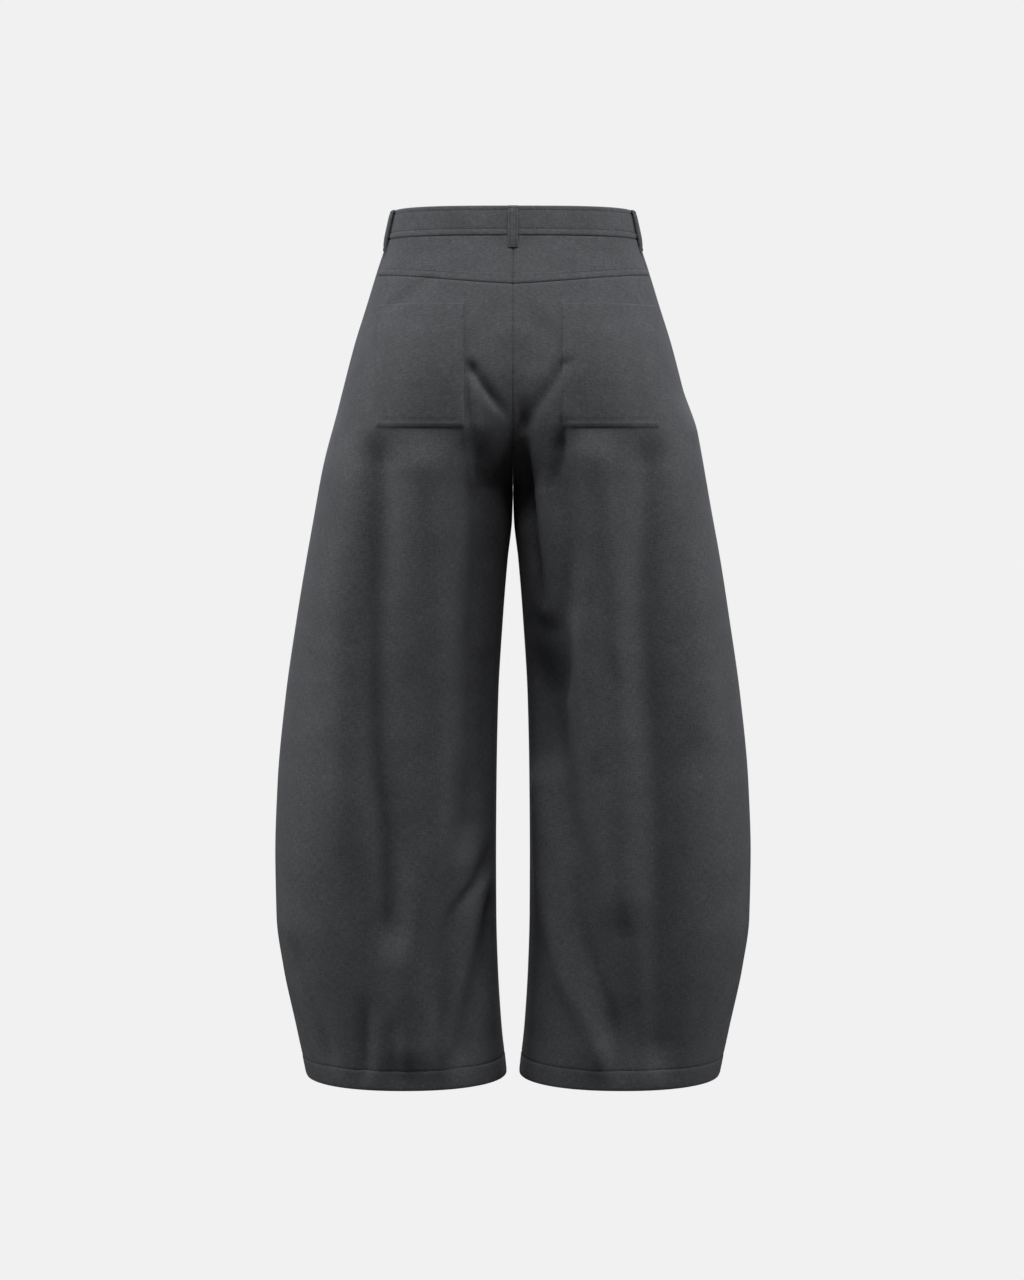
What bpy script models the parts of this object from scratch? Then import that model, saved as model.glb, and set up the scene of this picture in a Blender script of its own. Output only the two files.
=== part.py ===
"""Barrel leg trousers in dark grey suiting, hollow and filled out as they are when worn.

The wearer faces -Y, the back faces +Y, up is +Z and the wearer's left is +X. The origin is the
middle of the waistband, where the wearer holds the trousers up. Sizes below are millimetres.
"""

import functools
import math
from typing import NamedTuple

import bmesh
import bpy
import numpy as np
from mathutils import Vector

MM = 0.001
LEFT, RIGHT = 1, -1
BACK, FRONT = 1, -1

# Cloth and seams
CLOTH = 1.5
SEAM_GAP = 0.3
HALF_GAP = SEAM_GAP / 2
LAY_GAP = 0.45  # between cloth and what is sewn or buttoned on it
POCKET_GAP = 0.9  # wider, because panel and pocket have facets of different sizes

# Heights, from the middle of the waistband
TOP_HEIGHT = 17.0
BAND_SEAM = -15.5
YOKE_SIDE = -56.0
YOKE_CENTRE = -69.0
YOKE_REACH = 150.0  # distance from the centre at which the yoke seam has risen to its side height
YOKE_POWER = 1.3
FLY_END = -172.0
CROTCH = -295.0
HEM_FOLD = -965.0
HEM_STEP = 1.5
HEM_LAYERS = 2.0
HEM = -988.0

# Waistband, its fastening and the belt loops
BAND_PROUD = 0.8
BAND_THICK = 2.4
UNDERLAP = 36.0
UNDERLAP_RAMP = 14.0
RAMP_COLUMNS = 4
BAND_COLUMNS = 60
YOKE_ROWS = 3
BUTTON_ACROSS = 17.0
BUTTON_THICK = 3.2
BUTTON_FROM_END = 15.0
BUTTON_SIDES = 28
BUTTON_ROUND = 0.7
LOOP_WIDE = 11.5
LOOP_THICK = 1.8
LOOP_SIDE_SHIFT = 45.0
LOOP_FRONT_ACROSS = 72.0
LOOP_SHAPE = (  # height, and how far the loop's inside stands off the surface
    (16.6, 1.2),
    (14.0, 2.2),
    (8.0, 3.0),
    (-4.0, 3.2),
    (-14.0, 3.0),
    (-22.0, 1.9),
    (-26.5, 0.6),
    (-29.5, 0.45),
)
ZIP_WIDE = 28.0
ZIP_THICK = 1.2
ZIP_RIDGE_WIDE = 5.0
ZIP_RIDGE = 0.9
ZIP_STEP = 0.4
ZIP_CLEAR = 1.0
ZIP_TOP_CLEAR = 3.0
ZIP_ROWS = 8

# Patch pockets on the back
POCKET_TOP = -91.5
POCKET_FOOT = -226.0
POCKET_HEM = 15.0
POCKET_INNER = 54.0
POCKET_OUTER = {LEFT: 151.0, RIGHT: 160.0}
POCKET_COLUMNS = 8
POCKET_ROWS = 7

# The side seam lies this far behind the widest point, from the start height, and none at the end
SIDE_SEAM_SHIFT = 46.0
SIDE_SEAM_SHIFT_START = -60.0
SIDE_SEAM_SHIFT_END = -420.0

# Grid of each panel
OUTER_POINTS = 91
INNER_POINTS = 40
BACK_COLUMNS = 20
FRONT_COLUMNS = 14
PROBE = 1.5  # half of the span over which a slope is read
YOKE_FADE_ROWS = 4  # rows over which a back panel's rows turn level below the yoke seam
YOKE_ROUNDS = 3  # rounds that settle a height and its distance from the centre
HIP_STEP = 25.0
LEG_STEP = 35.0
SWEEP_START = -205.0
SWEEP_END = -345.0
SWEEP_SHARE = 0.8
CROTCH_ROWS = (
    *(-232.0, -248.0, -261.0, -271.0, -279.0, -285.5, -290.5, -293.6),
    *(CROTCH, -298.5, -306.0, -317.0),
)
THIGH_TOP = -331.0


class Section(NamedTuple):
    """A level cut of one side, as distances from the centre and from the side seams' plane.

    peak is where the oval is deepest, and cleft says how far it has closed towards the other side
    when it meets the centre: 0 is straight across and 1 is closed, as both legs are. gap is where
    it ends. corner is the oval's exponent: 2 is an ellipse and 3 is squarer.
    """

    height: float
    out: float
    peak: float
    cleft: float
    gap: float
    back: float
    front: float
    corner: float


SECTIONS = (
    Section(17.0, 137.0, 8.0, 0.0, HALF_GAP, 97.0, 95.0, 3.0),
    Section(-17.0, 144.7, 10.0, 0.0, HALF_GAP, 103.0, 99.0, 2.9),
    Section(-50.0, 155.6, 18.0, 0.0, HALF_GAP, 113.0, 104.0, 2.65),
    Section(-90.0, 168.2, 30.0, 0.03, HALF_GAP, 125.0, 109.0, 2.5),
    Section(-130.0, 181.0, 50.0, 0.13, HALF_GAP, 135.0, 113.0, 2.4),
    Section(-175.0, 193.0, 68.0, 0.3, HALF_GAP, 140.0, 114.0, 2.35),
    Section(-220.0, 204.6, 82.0, 0.52, HALF_GAP, 139.0, 114.0, 2.3),
    Section(-255.0, 212.7, 91.0, 0.74, HALF_GAP, 136.0, 113.5, 2.3),
    Section(-275.0, 217.3, 96.0, 0.9, HALF_GAP, 134.5, 113.0, 2.3),
    Section(-285.0, 219.5, 98.0, 0.965, HALF_GAP, 133.5, 112.7, 2.3),
    Section(CROTCH, 221.8, 100.0, 1.0, HALF_GAP, 132.5, 112.3, 2.3),
    Section(-330.0, 229.3, 107.0, 1.0, 1.0, 129.5, 111.0, 2.3),
    Section(-380.0, 239.3, 117.0, 1.0, 6.4, 125.0, 108.5, 2.3),
    Section(-450.0, 251.6, 129.0, 1.0, 12.0, 120.0, 104.0, 2.25),
    Section(-540.0, 265.2, 140.0, 1.0, 17.3, 113.0, 99.0, 2.2),
    Section(-640.0, 275.4, 147.4, 1.0, 19.4, 108.0, 94.0, 2.2),
    Section(-730.0, 279.0, 149.5, 1.0, 20.0, 103.0, 88.0, 2.2),
    Section(-800.0, 278.2, 148.9, 1.0, 19.7, 98.0, 83.0, 2.2),
    Section(-860.0, 270.6, 144.3, 1.0, 18.0, 93.0, 76.0, 2.2),
    Section(-930.0, 256.4, 135.1, 1.0, 13.8, 86.0, 68.0, 2.2),
    Section(HEM, 244.8, 126.2, 1.0, 7.7, 82.0, 62.0, 2.2),
)


def smooth_steps(value):
    """0 below 0, 1 above 1 and an even curve between."""
    held = np.clip(value, 0.0, 1.0)
    return held * held * (3.0 - 2.0 * held)


def smooth_between(at, places, values):
    """A curve through the values that never swings past them; places rise or fall."""
    places, values = np.asarray(places, float), np.asarray(values, float)
    if places[0] > places[-1]:
        places, values = places[::-1], values[::-1]
    steps = np.diff(places)
    rises = np.diff(values) / steps
    slopes = np.zeros(len(values))
    before, after = rises[:-1], rises[1:]
    turning = before * after <= 0.0
    weight = np.where(turning, 1.0, before + after)
    slopes[1:-1] = np.where(turning, 0.0, 2.0 * before * after / weight)
    slopes[0], slopes[-1] = rises[0], rises[-1]
    at = np.clip(at, places[0], places[-1])
    index = np.clip(np.searchsorted(places, at, side="right") - 1, 0, len(steps) - 1)
    step = steps[index]
    t = (at - places[index]) / step
    start = (1 + 2 * t) * (1 - t) ** 2 * values[index] + t * (1 - t) ** 2 * step * slopes[index]
    end = t * t * (3 - 2 * t) * values[index + 1] - t * t * (1 - t) * step * slopes[index + 1]
    return start + end


def section_at(height):
    """The sizes of the level cut at this height."""
    heights = [section.height for section in SECTIONS]
    columns = zip(*(section[1:] for section in SECTIONS))
    return Section(height, *(float(smooth_between(height, heights, column)) for column in columns))


class Fold(NamedTuple):
    """A long soft ridge (raise above 0) or trough (below 0) down the cloth.

    route holds (height, distance from the centre) from its upper end to its lower end. It starts
    and ends at nothing. The widths are how far it spreads towards the centre and the side.
    """

    raise_by: float
    centre_width: float
    side_width: float
    route: tuple


FOLDS = {
    (LEFT, BACK): (
        Fold(6, 26, 26, ((-205, 198), (-300, 193), (-420, 196), (-640, 192), (-770, 190))),
        Fold(-12, 20, 16, ((-224, 152), (-268, 148), (-300, 147), (-470, 154), (-580, 155),
                           (-696, 145), (-784, 140), (-840, 137))),
        Fold(8, 22, 26, ((-224, 100), (-275, 97), (-470, 88), (-583, 85), (-669, 87),
                         (-814, 114), (-933, 121), (-980, 122))),
        Fold(-13, 16, 18, ((-222, 42), (-262, 38), (-358, 34), (-472, 40), (-588, 41),
                           (-674, 46), (-730, 48))),
        Fold(-6, 9, 9, ((-695, 26), (-740, 36), (-782, 67), (-874, 87), (-940, 92))),
        Fold(-9, 16, 14, ((-745, 14), (-790, 22), (-852, 38), (-937, 58), (-986, 66))),
        Fold(5, 10, 10, ((-745, 32), (-790, 44), (-849, 56), (-935, 75), (-984, 82))),
        Fold(-4, 8, 8, ((-865, 168), (-910, 168), (-957, 169), (-987, 169))),
        Fold(-3, 9, 9, ((-890, 136), (-920, 136), (-956, 136), (-987, 136))),
        Fold(-5, 10, 12, ((-800, 262), (-840, 249), (-938, 214), (-985, 204))),
        Fold(4, 7, 5, ((-165, 44), (-200, 44), (-279, 41), (-305, 39))),
        Fold(-6, 8, 6, ((-150, 50), (-165, 44), (-188, 28), (-225, 2))),
    ),
    (RIGHT, BACK): (
        Fold(-7, 8, 10, ((-185, 12), (-225, 11), (-315, 12), (-350, 16))),
        Fold(-7, 7, 8, ((-235, 6), (-262, 6), (-331, 17), (-415, 33), (-445, 36))),
        Fold(5, 7, 8, ((-268, 33), (-302, 33), (-364, 36), (-426, 37), (-455, 38))),
        Fold(-8, 11, 12, ((-222, 54), (-250, 54), (-279, 57), (-357, 66), (-413, 61),
                          (-499, 56), (-545, 52))),
        Fold(-9, 16, 16, ((-415, 38), (-460, 39), (-512, 43), (-587, 43), (-645, 46))),
        Fold(5, 9, 9, ((-422, 65), (-460, 68), (-515, 78), (-583, 90), (-625, 96))),
        Fold(8, 22, 22, ((-222, 88), (-262, 90), (-301, 93), (-412, 105), (-525, 111),
                         (-755, 119), (-810, 121))),
        Fold(-9, 20, 20, ((-224, 148), (-270, 148), (-301, 148), (-412, 146), (-525, 153),
                          (-639, 163), (-933, 168), (-987, 168))),
        Fold(6, 24, 22, ((-180, 190), (-235, 197), (-308, 201), (-420, 213), (-527, 213),
                         (-610, 212))),
        Fold(-14, 14, 26, ((-455, 28), (-531, 34), (-644, 51), (-729, 73), (-815, 91),
                           (-903, 114), (-987, 124))),
        Fold(7, 12, 14, ((-600, 26), (-637, 28), (-736, 34), (-848, 57), (-934, 91), (-986, 102))),
    ),
    (LEFT, FRONT): (
        Fold(-9, 17, 22, ((-165, 58), (-240, 60), (-380, 70), (-560, 76), (-700, 70), (-790, 64))),
        Fold(7, 24, 24, ((-185, 104), (-280, 106), (-460, 112), (-640, 118), (-760, 116),
                         (-850, 112))),
        Fold(-8, 18, 18, ((-255, 160), (-340, 158), (-520, 164), (-680, 160), (-800, 150),
                          (-890, 146))),
        Fold(-6, 9, 12, ((-205, 10), (-250, 18), (-330, 34), (-430, 48), (-530, 52))),
        Fold(5, 20, 20, ((-290, 200), (-380, 210), (-560, 224), (-700, 230), (-790, 228))),
        Fold(-6, 12, 12, ((-815, 90), (-860, 95), (-930, 106), (-987, 112))),
        Fold(-7, 14, 12, ((-780, 28), (-840, 40), (-930, 62), (-986, 74))),
    ),
    (RIGHT, FRONT): (
        Fold(-8, 15, 20, ((-175, 66), (-260, 64), (-400, 60), (-540, 66), (-660, 78), (-740, 84))),
        Fold(7, 22, 26, ((-200, 112), (-300, 108), (-450, 104), (-620, 112), (-780, 124),
                         (-880, 128))),
        Fold(-9, 20, 17, ((-240, 152), (-330, 156), (-500, 152), (-660, 158), (-790, 164),
                          (-870, 166))),
        Fold(-6, 9, 11, ((-210, 12), (-255, 22), (-320, 36), (-400, 44), (-480, 46))),
        Fold(5, 20, 20, ((-310, 204), (-400, 214), (-580, 226), (-690, 232), (-770, 230))),
        Fold(-9, 13, 20, ((-640, 34), (-700, 42), (-790, 58), (-880, 80), (-986, 96))),
        Fold(-5, 12, 12, ((-850, 140), (-890, 142), (-940, 150), (-987, 154))),
    ),
}
SIDE_CALM = 26.0  # folds fade out over this length of cloth from the widest point
INNER_CALM = 9.0  # and over this distance from the centre seam or inside leg


def fold_rise(side, face, height, across):
    """How far the folds move the cloth outwards at these distances from the centre."""
    rise = np.zeros_like(across)
    for fold in FOLDS[side, face]:
        heights = [point[0] for point in fold.route]
        if not heights[-1] < height < heights[0]:
            continue
        middle = float(smooth_between(height, heights, [point[1] for point in fold.route]))
        strength = smooth_steps((heights[0] - height) / (heights[0] - heights[1]))
        strength *= smooth_steps((height - heights[-1]) / (heights[-2] - heights[-1]))
        offset = across - middle
        width = np.where(offset < 0.0, fold.centre_width, fold.side_width)
        rise += fold.raise_by * strength * np.exp(-((offset / width) ** 2))
    return rise


class Line(NamedTuple):
    """One side's level line, from the centre back or inside leg round to the front's inner end."""

    x: np.ndarray
    y: np.ndarray
    length: np.ndarray  # along the smooth line without folds, from its back end
    side_seam: float  # where the side seam crosses, on that length


def plain_line(height):
    """The level line of the left side without its folds, from its back end to its front end."""
    cut = section_at(height)
    power = 2.0 / cut.corner
    turn = np.linspace(math.pi / 2.0, -math.pi / 2.0, OUTER_POINTS)
    outer_x = cut.peak + (cut.out - cut.peak) * np.abs(np.cos(turn)) ** power
    depth = np.where(turn > 0.0, cut.back, cut.front)
    outer_y = depth * np.sign(np.sin(turn)) * np.abs(np.sin(turn)) ** power
    away = 1.0 - np.linspace(0.0, 1.0, INNER_POINTS)[:-1] ** cut.corner
    inner_x = cut.peak + (cut.gap - cut.peak) * away
    closed = np.minimum(cut.cleft * away, 1.0)
    inner_y = (1.0 - closed**cut.corner) ** (1.0 / cut.corner)
    x = np.concatenate([inner_x, outer_x, inner_x[::-1]])
    y = np.concatenate([cut.back * inner_y, outer_y, -cut.front * inner_y[::-1]])
    return np.maximum(x, HALF_GAP), y


def level_line(side, height):
    """The level line of one side at this height, folds and all, with x counted outwards."""
    x, y = plain_line(height)
    steps = np.hypot(np.diff(x), np.diff(y))
    length = np.concatenate([[0.0], np.cumsum(steps)])
    out_x, out_y = -np.gradient(y, length), np.gradient(x, length)
    scale = np.hypot(out_x, out_y)
    out_x, out_y = out_x / scale, out_y / scale
    widest = length[int(np.argmax(x))]
    keep = smooth_steps((x - x[0]) / INNER_CALM) * smooth_steps(np.abs(length - widest) / SIDE_CALM)
    rise = np.where(
        length < widest,
        fold_rise(side, BACK, height, x),
        fold_rise(side, FRONT, height, x),
    )
    x = np.maximum(x + out_x * rise * keep, HALF_GAP)
    y = y + out_y * rise * keep
    fallen = (SIDE_SEAM_SHIFT_START - height) / (SIDE_SEAM_SHIFT_START - SIDE_SEAM_SHIFT_END)
    shift = SIDE_SEAM_SHIFT * (1.0 - float(smooth_steps(fallen)))
    return Line(x, y, length, widest - shift)


@functools.lru_cache(maxsize=None)
def cut_line(side, height_key):
    """level_line, remembered; the key is the height in thousandths of a millimetre."""
    return level_line(side, height_key / 1000.0)


def surface_point(side, height, length):
    """The point of the cloth's outside at this height, length along from the line's back end."""
    line = cut_line(side, round(height * 1000.0))
    x = float(np.interp(length, line.length, line.x))
    y = float(np.interp(length, line.length, line.y))
    return np.array([side * x, y, height])


def surface_frame(side, height, length):
    """A point of the cloth's outside, its outward direction and the level direction round it."""
    line = cut_line(side, round(height * 1000.0))
    along = np.clip([length - PROBE, length + PROBE], 0.0, line.length[-1])
    heights = np.clip([height - PROBE, height + PROBE], HEM, TOP_HEIGHT)
    round_it = surface_point(side, height, along[1]) - surface_point(side, height, along[0])
    up_it = surface_point(side, heights[1], length) - surface_point(side, heights[0], length)
    outward = side * np.cross(up_it, round_it)
    outward /= np.linalg.norm(outward)
    round_it /= np.linalg.norm(round_it)
    return surface_point(side, height, length), outward, round_it


def length_at(side, height, face, across):
    """Where the line passes this distance from the centre, on its back or front."""
    line = cut_line(side, round(height * 1000.0))
    x, _ = plain_line(height)
    widest = int(np.argmax(x))
    if face == BACK:
        return float(np.interp(across, x[: widest + 1], line.length[: widest + 1]))
    return float(np.interp(across, x[widest:][::-1], line.length[widest:][::-1]))


def yoke_seam(across):
    """The height of the yoke seam at this distance from the centre back."""
    return YOKE_CENTRE + (YOKE_SIDE - YOKE_CENTRE) * min(across / YOKE_REACH, 1.1) ** YOKE_POWER


def steps_between(top, bottom, step):
    """Even heights from top towards bottom, without bottom itself."""
    count = max(round((top - bottom) / step), 1)
    return [top + (bottom - top) * i / count for i in range(count)]


def leg_rows():
    """The heights of a panel's rows from the side end of the yoke seam down to the hem."""
    rows = steps_between(YOKE_SIDE, CROTCH_ROWS[0], HIP_STEP)
    rows += list(CROTCH_ROWS) + steps_between(THIGH_TOP, HEM_FOLD, LEG_STEP)
    return rows + [HEM_FOLD, HEM_FOLD - HEM_STEP, HEM]


def material(name, colour, roughness, metallic=0.0):
    """A plain material; the colour is linear."""
    made = bpy.data.materials.new(name)
    made.use_nodes = True
    shader = made.node_tree.nodes["Principled BSDF"]
    shader.inputs["Base Color"].default_value = (*colour, 1.0)
    shader.inputs["Roughness"].default_value = roughness
    shader.inputs["Metallic"].default_value = metallic
    return made


def shell(name, outside, inside, colour):
    """One closed piece of cloth between two grids of points, each a list of rows."""
    rows, columns = len(outside), len(outside[0])
    mesh = bmesh.new()
    faces_of = []
    for grid in (outside, inside):
        faces_of.append([[mesh.verts.new(point * MM) for point in row] for row in grid])
    for grid in faces_of:
        for r in range(rows - 1):
            for c in range(columns - 1):
                mesh.faces.new((grid[r][c], grid[r][c + 1], grid[r + 1][c + 1], grid[r + 1][c]))
    rim = [(0, c) for c in range(columns)]
    rim += [(r, columns - 1) for r in range(1, rows)]
    rim += [(rows - 1, c) for c in range(columns - 2, -1, -1)]
    rim += [(r, 0) for r in range(rows - 2, 0, -1)]
    out, into = faces_of
    for (r, c), (next_r, next_c) in zip(rim, rim[1:] + rim[:1]):
        mesh.faces.new((out[r][c], out[next_r][next_c], into[next_r][next_c], into[r][c]))
    bmesh.ops.recalc_face_normals(mesh, faces=mesh.faces)
    data = bpy.data.meshes.new(name)
    mesh.to_mesh(data)
    mesh.free()
    data.materials.append(colour)
    data.shade_smooth()
    data.set_sharp_from_angle(angle=math.radians(50.0))
    made = bpy.data.objects.new(name, data)
    bpy.context.scene.collection.objects.link(made)
    return made


def centre_safe(outward, side):
    """An outward direction that never leans over the centre line's other side."""
    lean = min(side * outward[0], 0.0)
    held = np.array([side * lean, outward[1], outward[2]])
    return held / np.linalg.norm(held)


def panel_ends(side, height, face):
    """Where a panel's side seam edge and its centre or inside leg edge lie on the line."""
    line = cut_line(side, round(height * 1000.0))
    if face == BACK:
        return line.side_seam - HALF_GAP, HALF_GAP
    return line.side_seam + HALF_GAP, line.length[-1] - HALF_GAP


def length_for(side, height, face, share):
    """Length at a share of the way from side seam to inner edge.

    The inner edge sweeps quickly under the crotch, so there only the last columns follow it, and
    the others keep to a span that changes slowly.
    """
    start, end = panel_ends(side, height, face)
    span = end - start
    if SWEEP_END < height < SWEEP_START:
        above_start, above_end = panel_ends(side, SWEEP_START, face)
        below_start, below_end = panel_ends(side, SWEEP_END, face)
        below = float(smooth_steps((SWEEP_START - height) / (SWEEP_START - SWEEP_END)))
        span = (above_end - above_start) * (1.0 - below) + (below_end - below_start) * below
    if share <= SWEEP_SHARE:
        return start + span * share
    last = start + span * SWEEP_SHARE
    return last + (end - last) * (share - SWEEP_SHARE) / (1.0 - SWEEP_SHARE)


def panel_point(side, face, level, share, sloping):
    """Height and length of a panel's grid point; sloping bends the row along the yoke seam."""
    height = level
    for _ in range(YOKE_ROUNDS if sloping else 1):
        length = length_for(side, height, face, share)
        if sloping:
            across = abs(surface_point(side, height, length)[0])
            height = level + sloping * (yoke_seam(across) - YOKE_SIDE)
    return height, length


def panel(name, side, face, rows, columns, colour):
    """A piece between side seam and centre; rows holds (height, sloping, thickness)."""
    outside, inside = [], []
    for level, sloping, thick in rows:
        out_row, in_row = [], []
        for c in range(columns + 1):
            height, length = panel_point(side, face, level, c / columns, sloping)
            point, outward, _ = surface_frame(side, height, length)
            if c == columns:
                outward = centre_safe(outward, side)
            out_row.append(point)
            in_row.append(point - outward * thick)
        outside.append(out_row)
        inside.append(in_row)
    return shell(name, outside, inside, colour)


def leg_back(name, side, colour):
    """A back from the yoke seam to the hem; its turned-up hem is a thicker edge."""
    rows = []
    for r, level in enumerate(leg_rows()):
        thick = CLOTH * HEM_LAYERS if level < HEM_FOLD else CLOTH
        rows.append((level, max(1.0 - r / YOKE_FADE_ROWS, 0.0), thick))
    rows[0] = (YOKE_SIDE - HALF_GAP, 1.0, CLOTH)
    return panel(name, side, BACK, rows, BACK_COLUMNS, colour)


def leg_front(name, side, colour):
    """A front from the waistband to the hem; its turned-up hem is a thicker edge."""
    levels = steps_between(BAND_SEAM - HALF_GAP, YOKE_SIDE, HIP_STEP) + leg_rows()
    rows = []
    for level in levels:
        thick = CLOTH * HEM_LAYERS if level < HEM_FOLD else CLOTH
        rows.append((level, 0.0, thick))
    return panel(name, side, FRONT, rows, FRONT_COLUMNS, colour)


def yoke(name, side, colour):
    """The yoke between the waistband and the back."""
    rows = []
    for r in range(YOKE_ROWS + 1):
        share = r / YOKE_ROWS
        top, bottom = BAND_SEAM - HALF_GAP, YOKE_SIDE + HALF_GAP
        rows.append((top + (bottom - top) * share, share, CLOTH))
    return panel(name, side, BACK, rows, BACK_COLUMNS, colour)


def band_line(height):
    """The waistband's closed line at this height from the centre front by the wearer's right."""
    x, y = plain_line(height)
    x[0] = x[-1] = 0.0
    right_x, right_y = -x[::-1], y[::-1]
    x = np.concatenate([right_x, x[1:]])
    y = np.concatenate([right_y, y[1:]])
    length = np.concatenate([[0.0], np.cumsum(np.hypot(np.diff(x), np.diff(y)))])
    return x, y, length


def band_point(height, length):
    """A point of the smooth waist surface, length along from the centre front."""
    x, y, lengths = band_line(height)
    length = length % lengths[-1]
    return np.array([np.interp(length, lengths, x), np.interp(length, lengths, y), height])


def waistband(name, colour):
    """One strip round the waist, its wearer's right end under the left one at the centre front."""
    outside, inside = [], []
    for height in (TOP_HEIGHT, (TOP_HEIGHT + BAND_SEAM) / 2.0, BAND_SEAM + HALF_GAP):
        total = band_line(height)[2][-1]
        stops = [-UNDERLAP, -UNDERLAP / 2.0]
        stops += [UNDERLAP_RAMP * i / RAMP_COLUMNS for i in range(RAMP_COLUMNS)]
        last = total - HALF_GAP
        stops += [
            UNDERLAP_RAMP + (last - UNDERLAP_RAMP) * i / BAND_COLUMNS
            for i in range(BAND_COLUMNS + 1)
        ]
        out_row, in_row = [], []
        for stop in stops:
            lower, upper = max(height - PROBE, BAND_SEAM), min(height + PROBE, TOP_HEIGHT)
            up_it = band_point(upper, stop) - band_point(lower, stop)
            round_it = band_point(height, stop + PROBE) - band_point(height, stop - PROBE)
            outward = np.cross(up_it, round_it)
            outward /= np.linalg.norm(outward)
            under = 1.0 - float(smooth_steps(stop / UNDERLAP_RAMP))
            rise = BAND_PROUD - under * (BAND_THICK + LAY_GAP)
            point = band_point(height, stop)
            out_row.append(point + outward * rise)
            in_row.append(point + outward * (rise - BAND_THICK))
        outside.append(out_row)
        inside.append(in_row)
    return shell(name, outside, inside, colour)


def back_pocket(name, side, outer_edge, colour):
    """A patch pocket made from the back's own points, moved out."""
    outside, inside = [], []
    heights = [POCKET_TOP, POCKET_TOP - POCKET_HEM]
    below = POCKET_TOP - POCKET_HEM
    heights += [below + (POCKET_FOOT - below) * i / POCKET_ROWS for i in range(1, POCKET_ROWS + 1)]
    for height in heights:
        inner = length_at(side, height, BACK, POCKET_INNER)
        outer = length_at(side, height, BACK, outer_edge)
        out_row, in_row = [], []
        for c in range(POCKET_COLUMNS + 1):
            length = inner + (outer - inner) * c / POCKET_COLUMNS
            point, outward, _ = surface_frame(side, height, length)
            in_row.append(point + outward * POCKET_GAP)
            out_row.append(point + outward * (POCKET_GAP + CLOTH))
        outside.append(out_row)
        inside.append(in_row)
    return shell(name, outside, inside, colour)


def belt_loop(name, side, length_of, colour):
    """A narrow strip that stands off the waistband; length_of gives its place at a height."""
    outside, inside = [], []
    for height, stand in LOOP_SHAPE:
        point, outward, round_it = surface_frame(side, height, length_of(height))
        across = round_it * LOOP_WIDE / 2.0
        near, far = point + outward * stand, point + outward * (stand + LOOP_THICK)
        inside.append([near - across, near + across])
        outside.append([far - across, far + across])
    return shell(name, outside, inside, colour)


def belt_loops(colour):
    """One at the centre back, one just behind each side seam and one on each front."""

    def at_centre(_height):
        return 0.0

    def at_side(height):
        line = cut_line(LEFT, round(height * 1000.0))
        return line.length[int(np.argmax(line.x))] - LOOP_SIDE_SHIFT

    def at_front(height):
        return length_at(LEFT, height, FRONT, LOOP_FRONT_ACROSS)

    belt_loop("belt_loop_back", LEFT, at_centre, colour)
    for side, word in ((LEFT, "left"), (RIGHT, "right")):
        belt_loop(f"belt_loop_side_{word}", side, at_side, colour)
        belt_loop(f"belt_loop_front_{word}", side, at_front, colour)


def fly_zip(name, colour):
    """The closed zip behind the centre front: a tape with its row of teeth as a low ridge."""
    outside, inside = [], []
    half = ZIP_WIDE / 2.0
    ridge = ZIP_RIDGE_WIDE / 2.0
    top = BAND_SEAM - ZIP_TOP_CLEAR
    for r in range(ZIP_ROWS + 1):
        height = top + (FLY_END - top) * r / ZIP_ROWS
        out_row, in_row = [], []
        for across, thick in (
            (-half, ZIP_THICK),
            (-ridge - ZIP_STEP, ZIP_THICK),
            (-ridge, ZIP_THICK + ZIP_RIDGE),
            (ridge, ZIP_THICK + ZIP_RIDGE),
            (ridge + ZIP_STEP, ZIP_THICK),
            (half, ZIP_THICK),
        ):
            side = LEFT if across > 0.0 else RIGHT
            length = length_at(side, height, FRONT, abs(across))
            point, outward, _ = surface_frame(side, height, length)
            sunk = CLOTH + ZIP_CLEAR
            out_row.append(point - outward * sunk)
            in_row.append(point - outward * (sunk + thick))
        outside.append(out_row)
        inside.append(in_row)
    return shell(name, outside, inside, colour)


def waist_button(name, colour):
    """The flat round button on the wearer's left end of the waistband."""
    height = (TOP_HEIGHT + BAND_SEAM) / 2.0
    length = length_at(LEFT, height, FRONT, BUTTON_FROM_END)
    point, outward, _ = surface_frame(LEFT, height, length)
    middle = point + outward * (BAND_PROUD + SEAM_GAP + BUTTON_THICK / 2.0)
    turn = Vector((0.0, 0.0, 1.0)).rotation_difference(Vector(outward))
    bpy.ops.mesh.primitive_cylinder_add(
        vertices=BUTTON_SIDES,
        radius=BUTTON_ACROSS / 2.0 * MM,
        depth=BUTTON_THICK * MM,
        location=middle * MM,
        rotation=turn.to_euler(),
    )
    made = bpy.context.object
    made.name = made.data.name = name
    made.data.materials.append(colour)
    edge = made.modifiers.new("rounded rim", "BEVEL")
    edge.width = BUTTON_ROUND * MM
    edge.segments = 2
    return made


def main():
    """Clear the scene and make every piece."""
    for old in list(bpy.data.objects):
        bpy.data.objects.remove(old, do_unlink=True)
    suiting = material("grey_suiting", (0.085, 0.085, 0.093), 0.72)
    tape = material("zip_tape_black", (0.02, 0.02, 0.022), 0.8)
    horn = material("button_black", (0.018, 0.018, 0.02), 0.35)
    for side, word in ((LEFT, "left"), (RIGHT, "right")):
        leg_back(f"back_{word}", side, suiting)
        leg_front(f"front_{word}", side, suiting)
        yoke(f"yoke_{word}", side, suiting)
        back_pocket(f"back_pocket_{word}", side, POCKET_OUTER[side], suiting)
    waistband("waistband", suiting)
    belt_loops(suiting)
    fly_zip("fly_zip", tape)
    waist_button("waist_button", horn)


if __name__ == "__main__":
    main()
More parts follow.
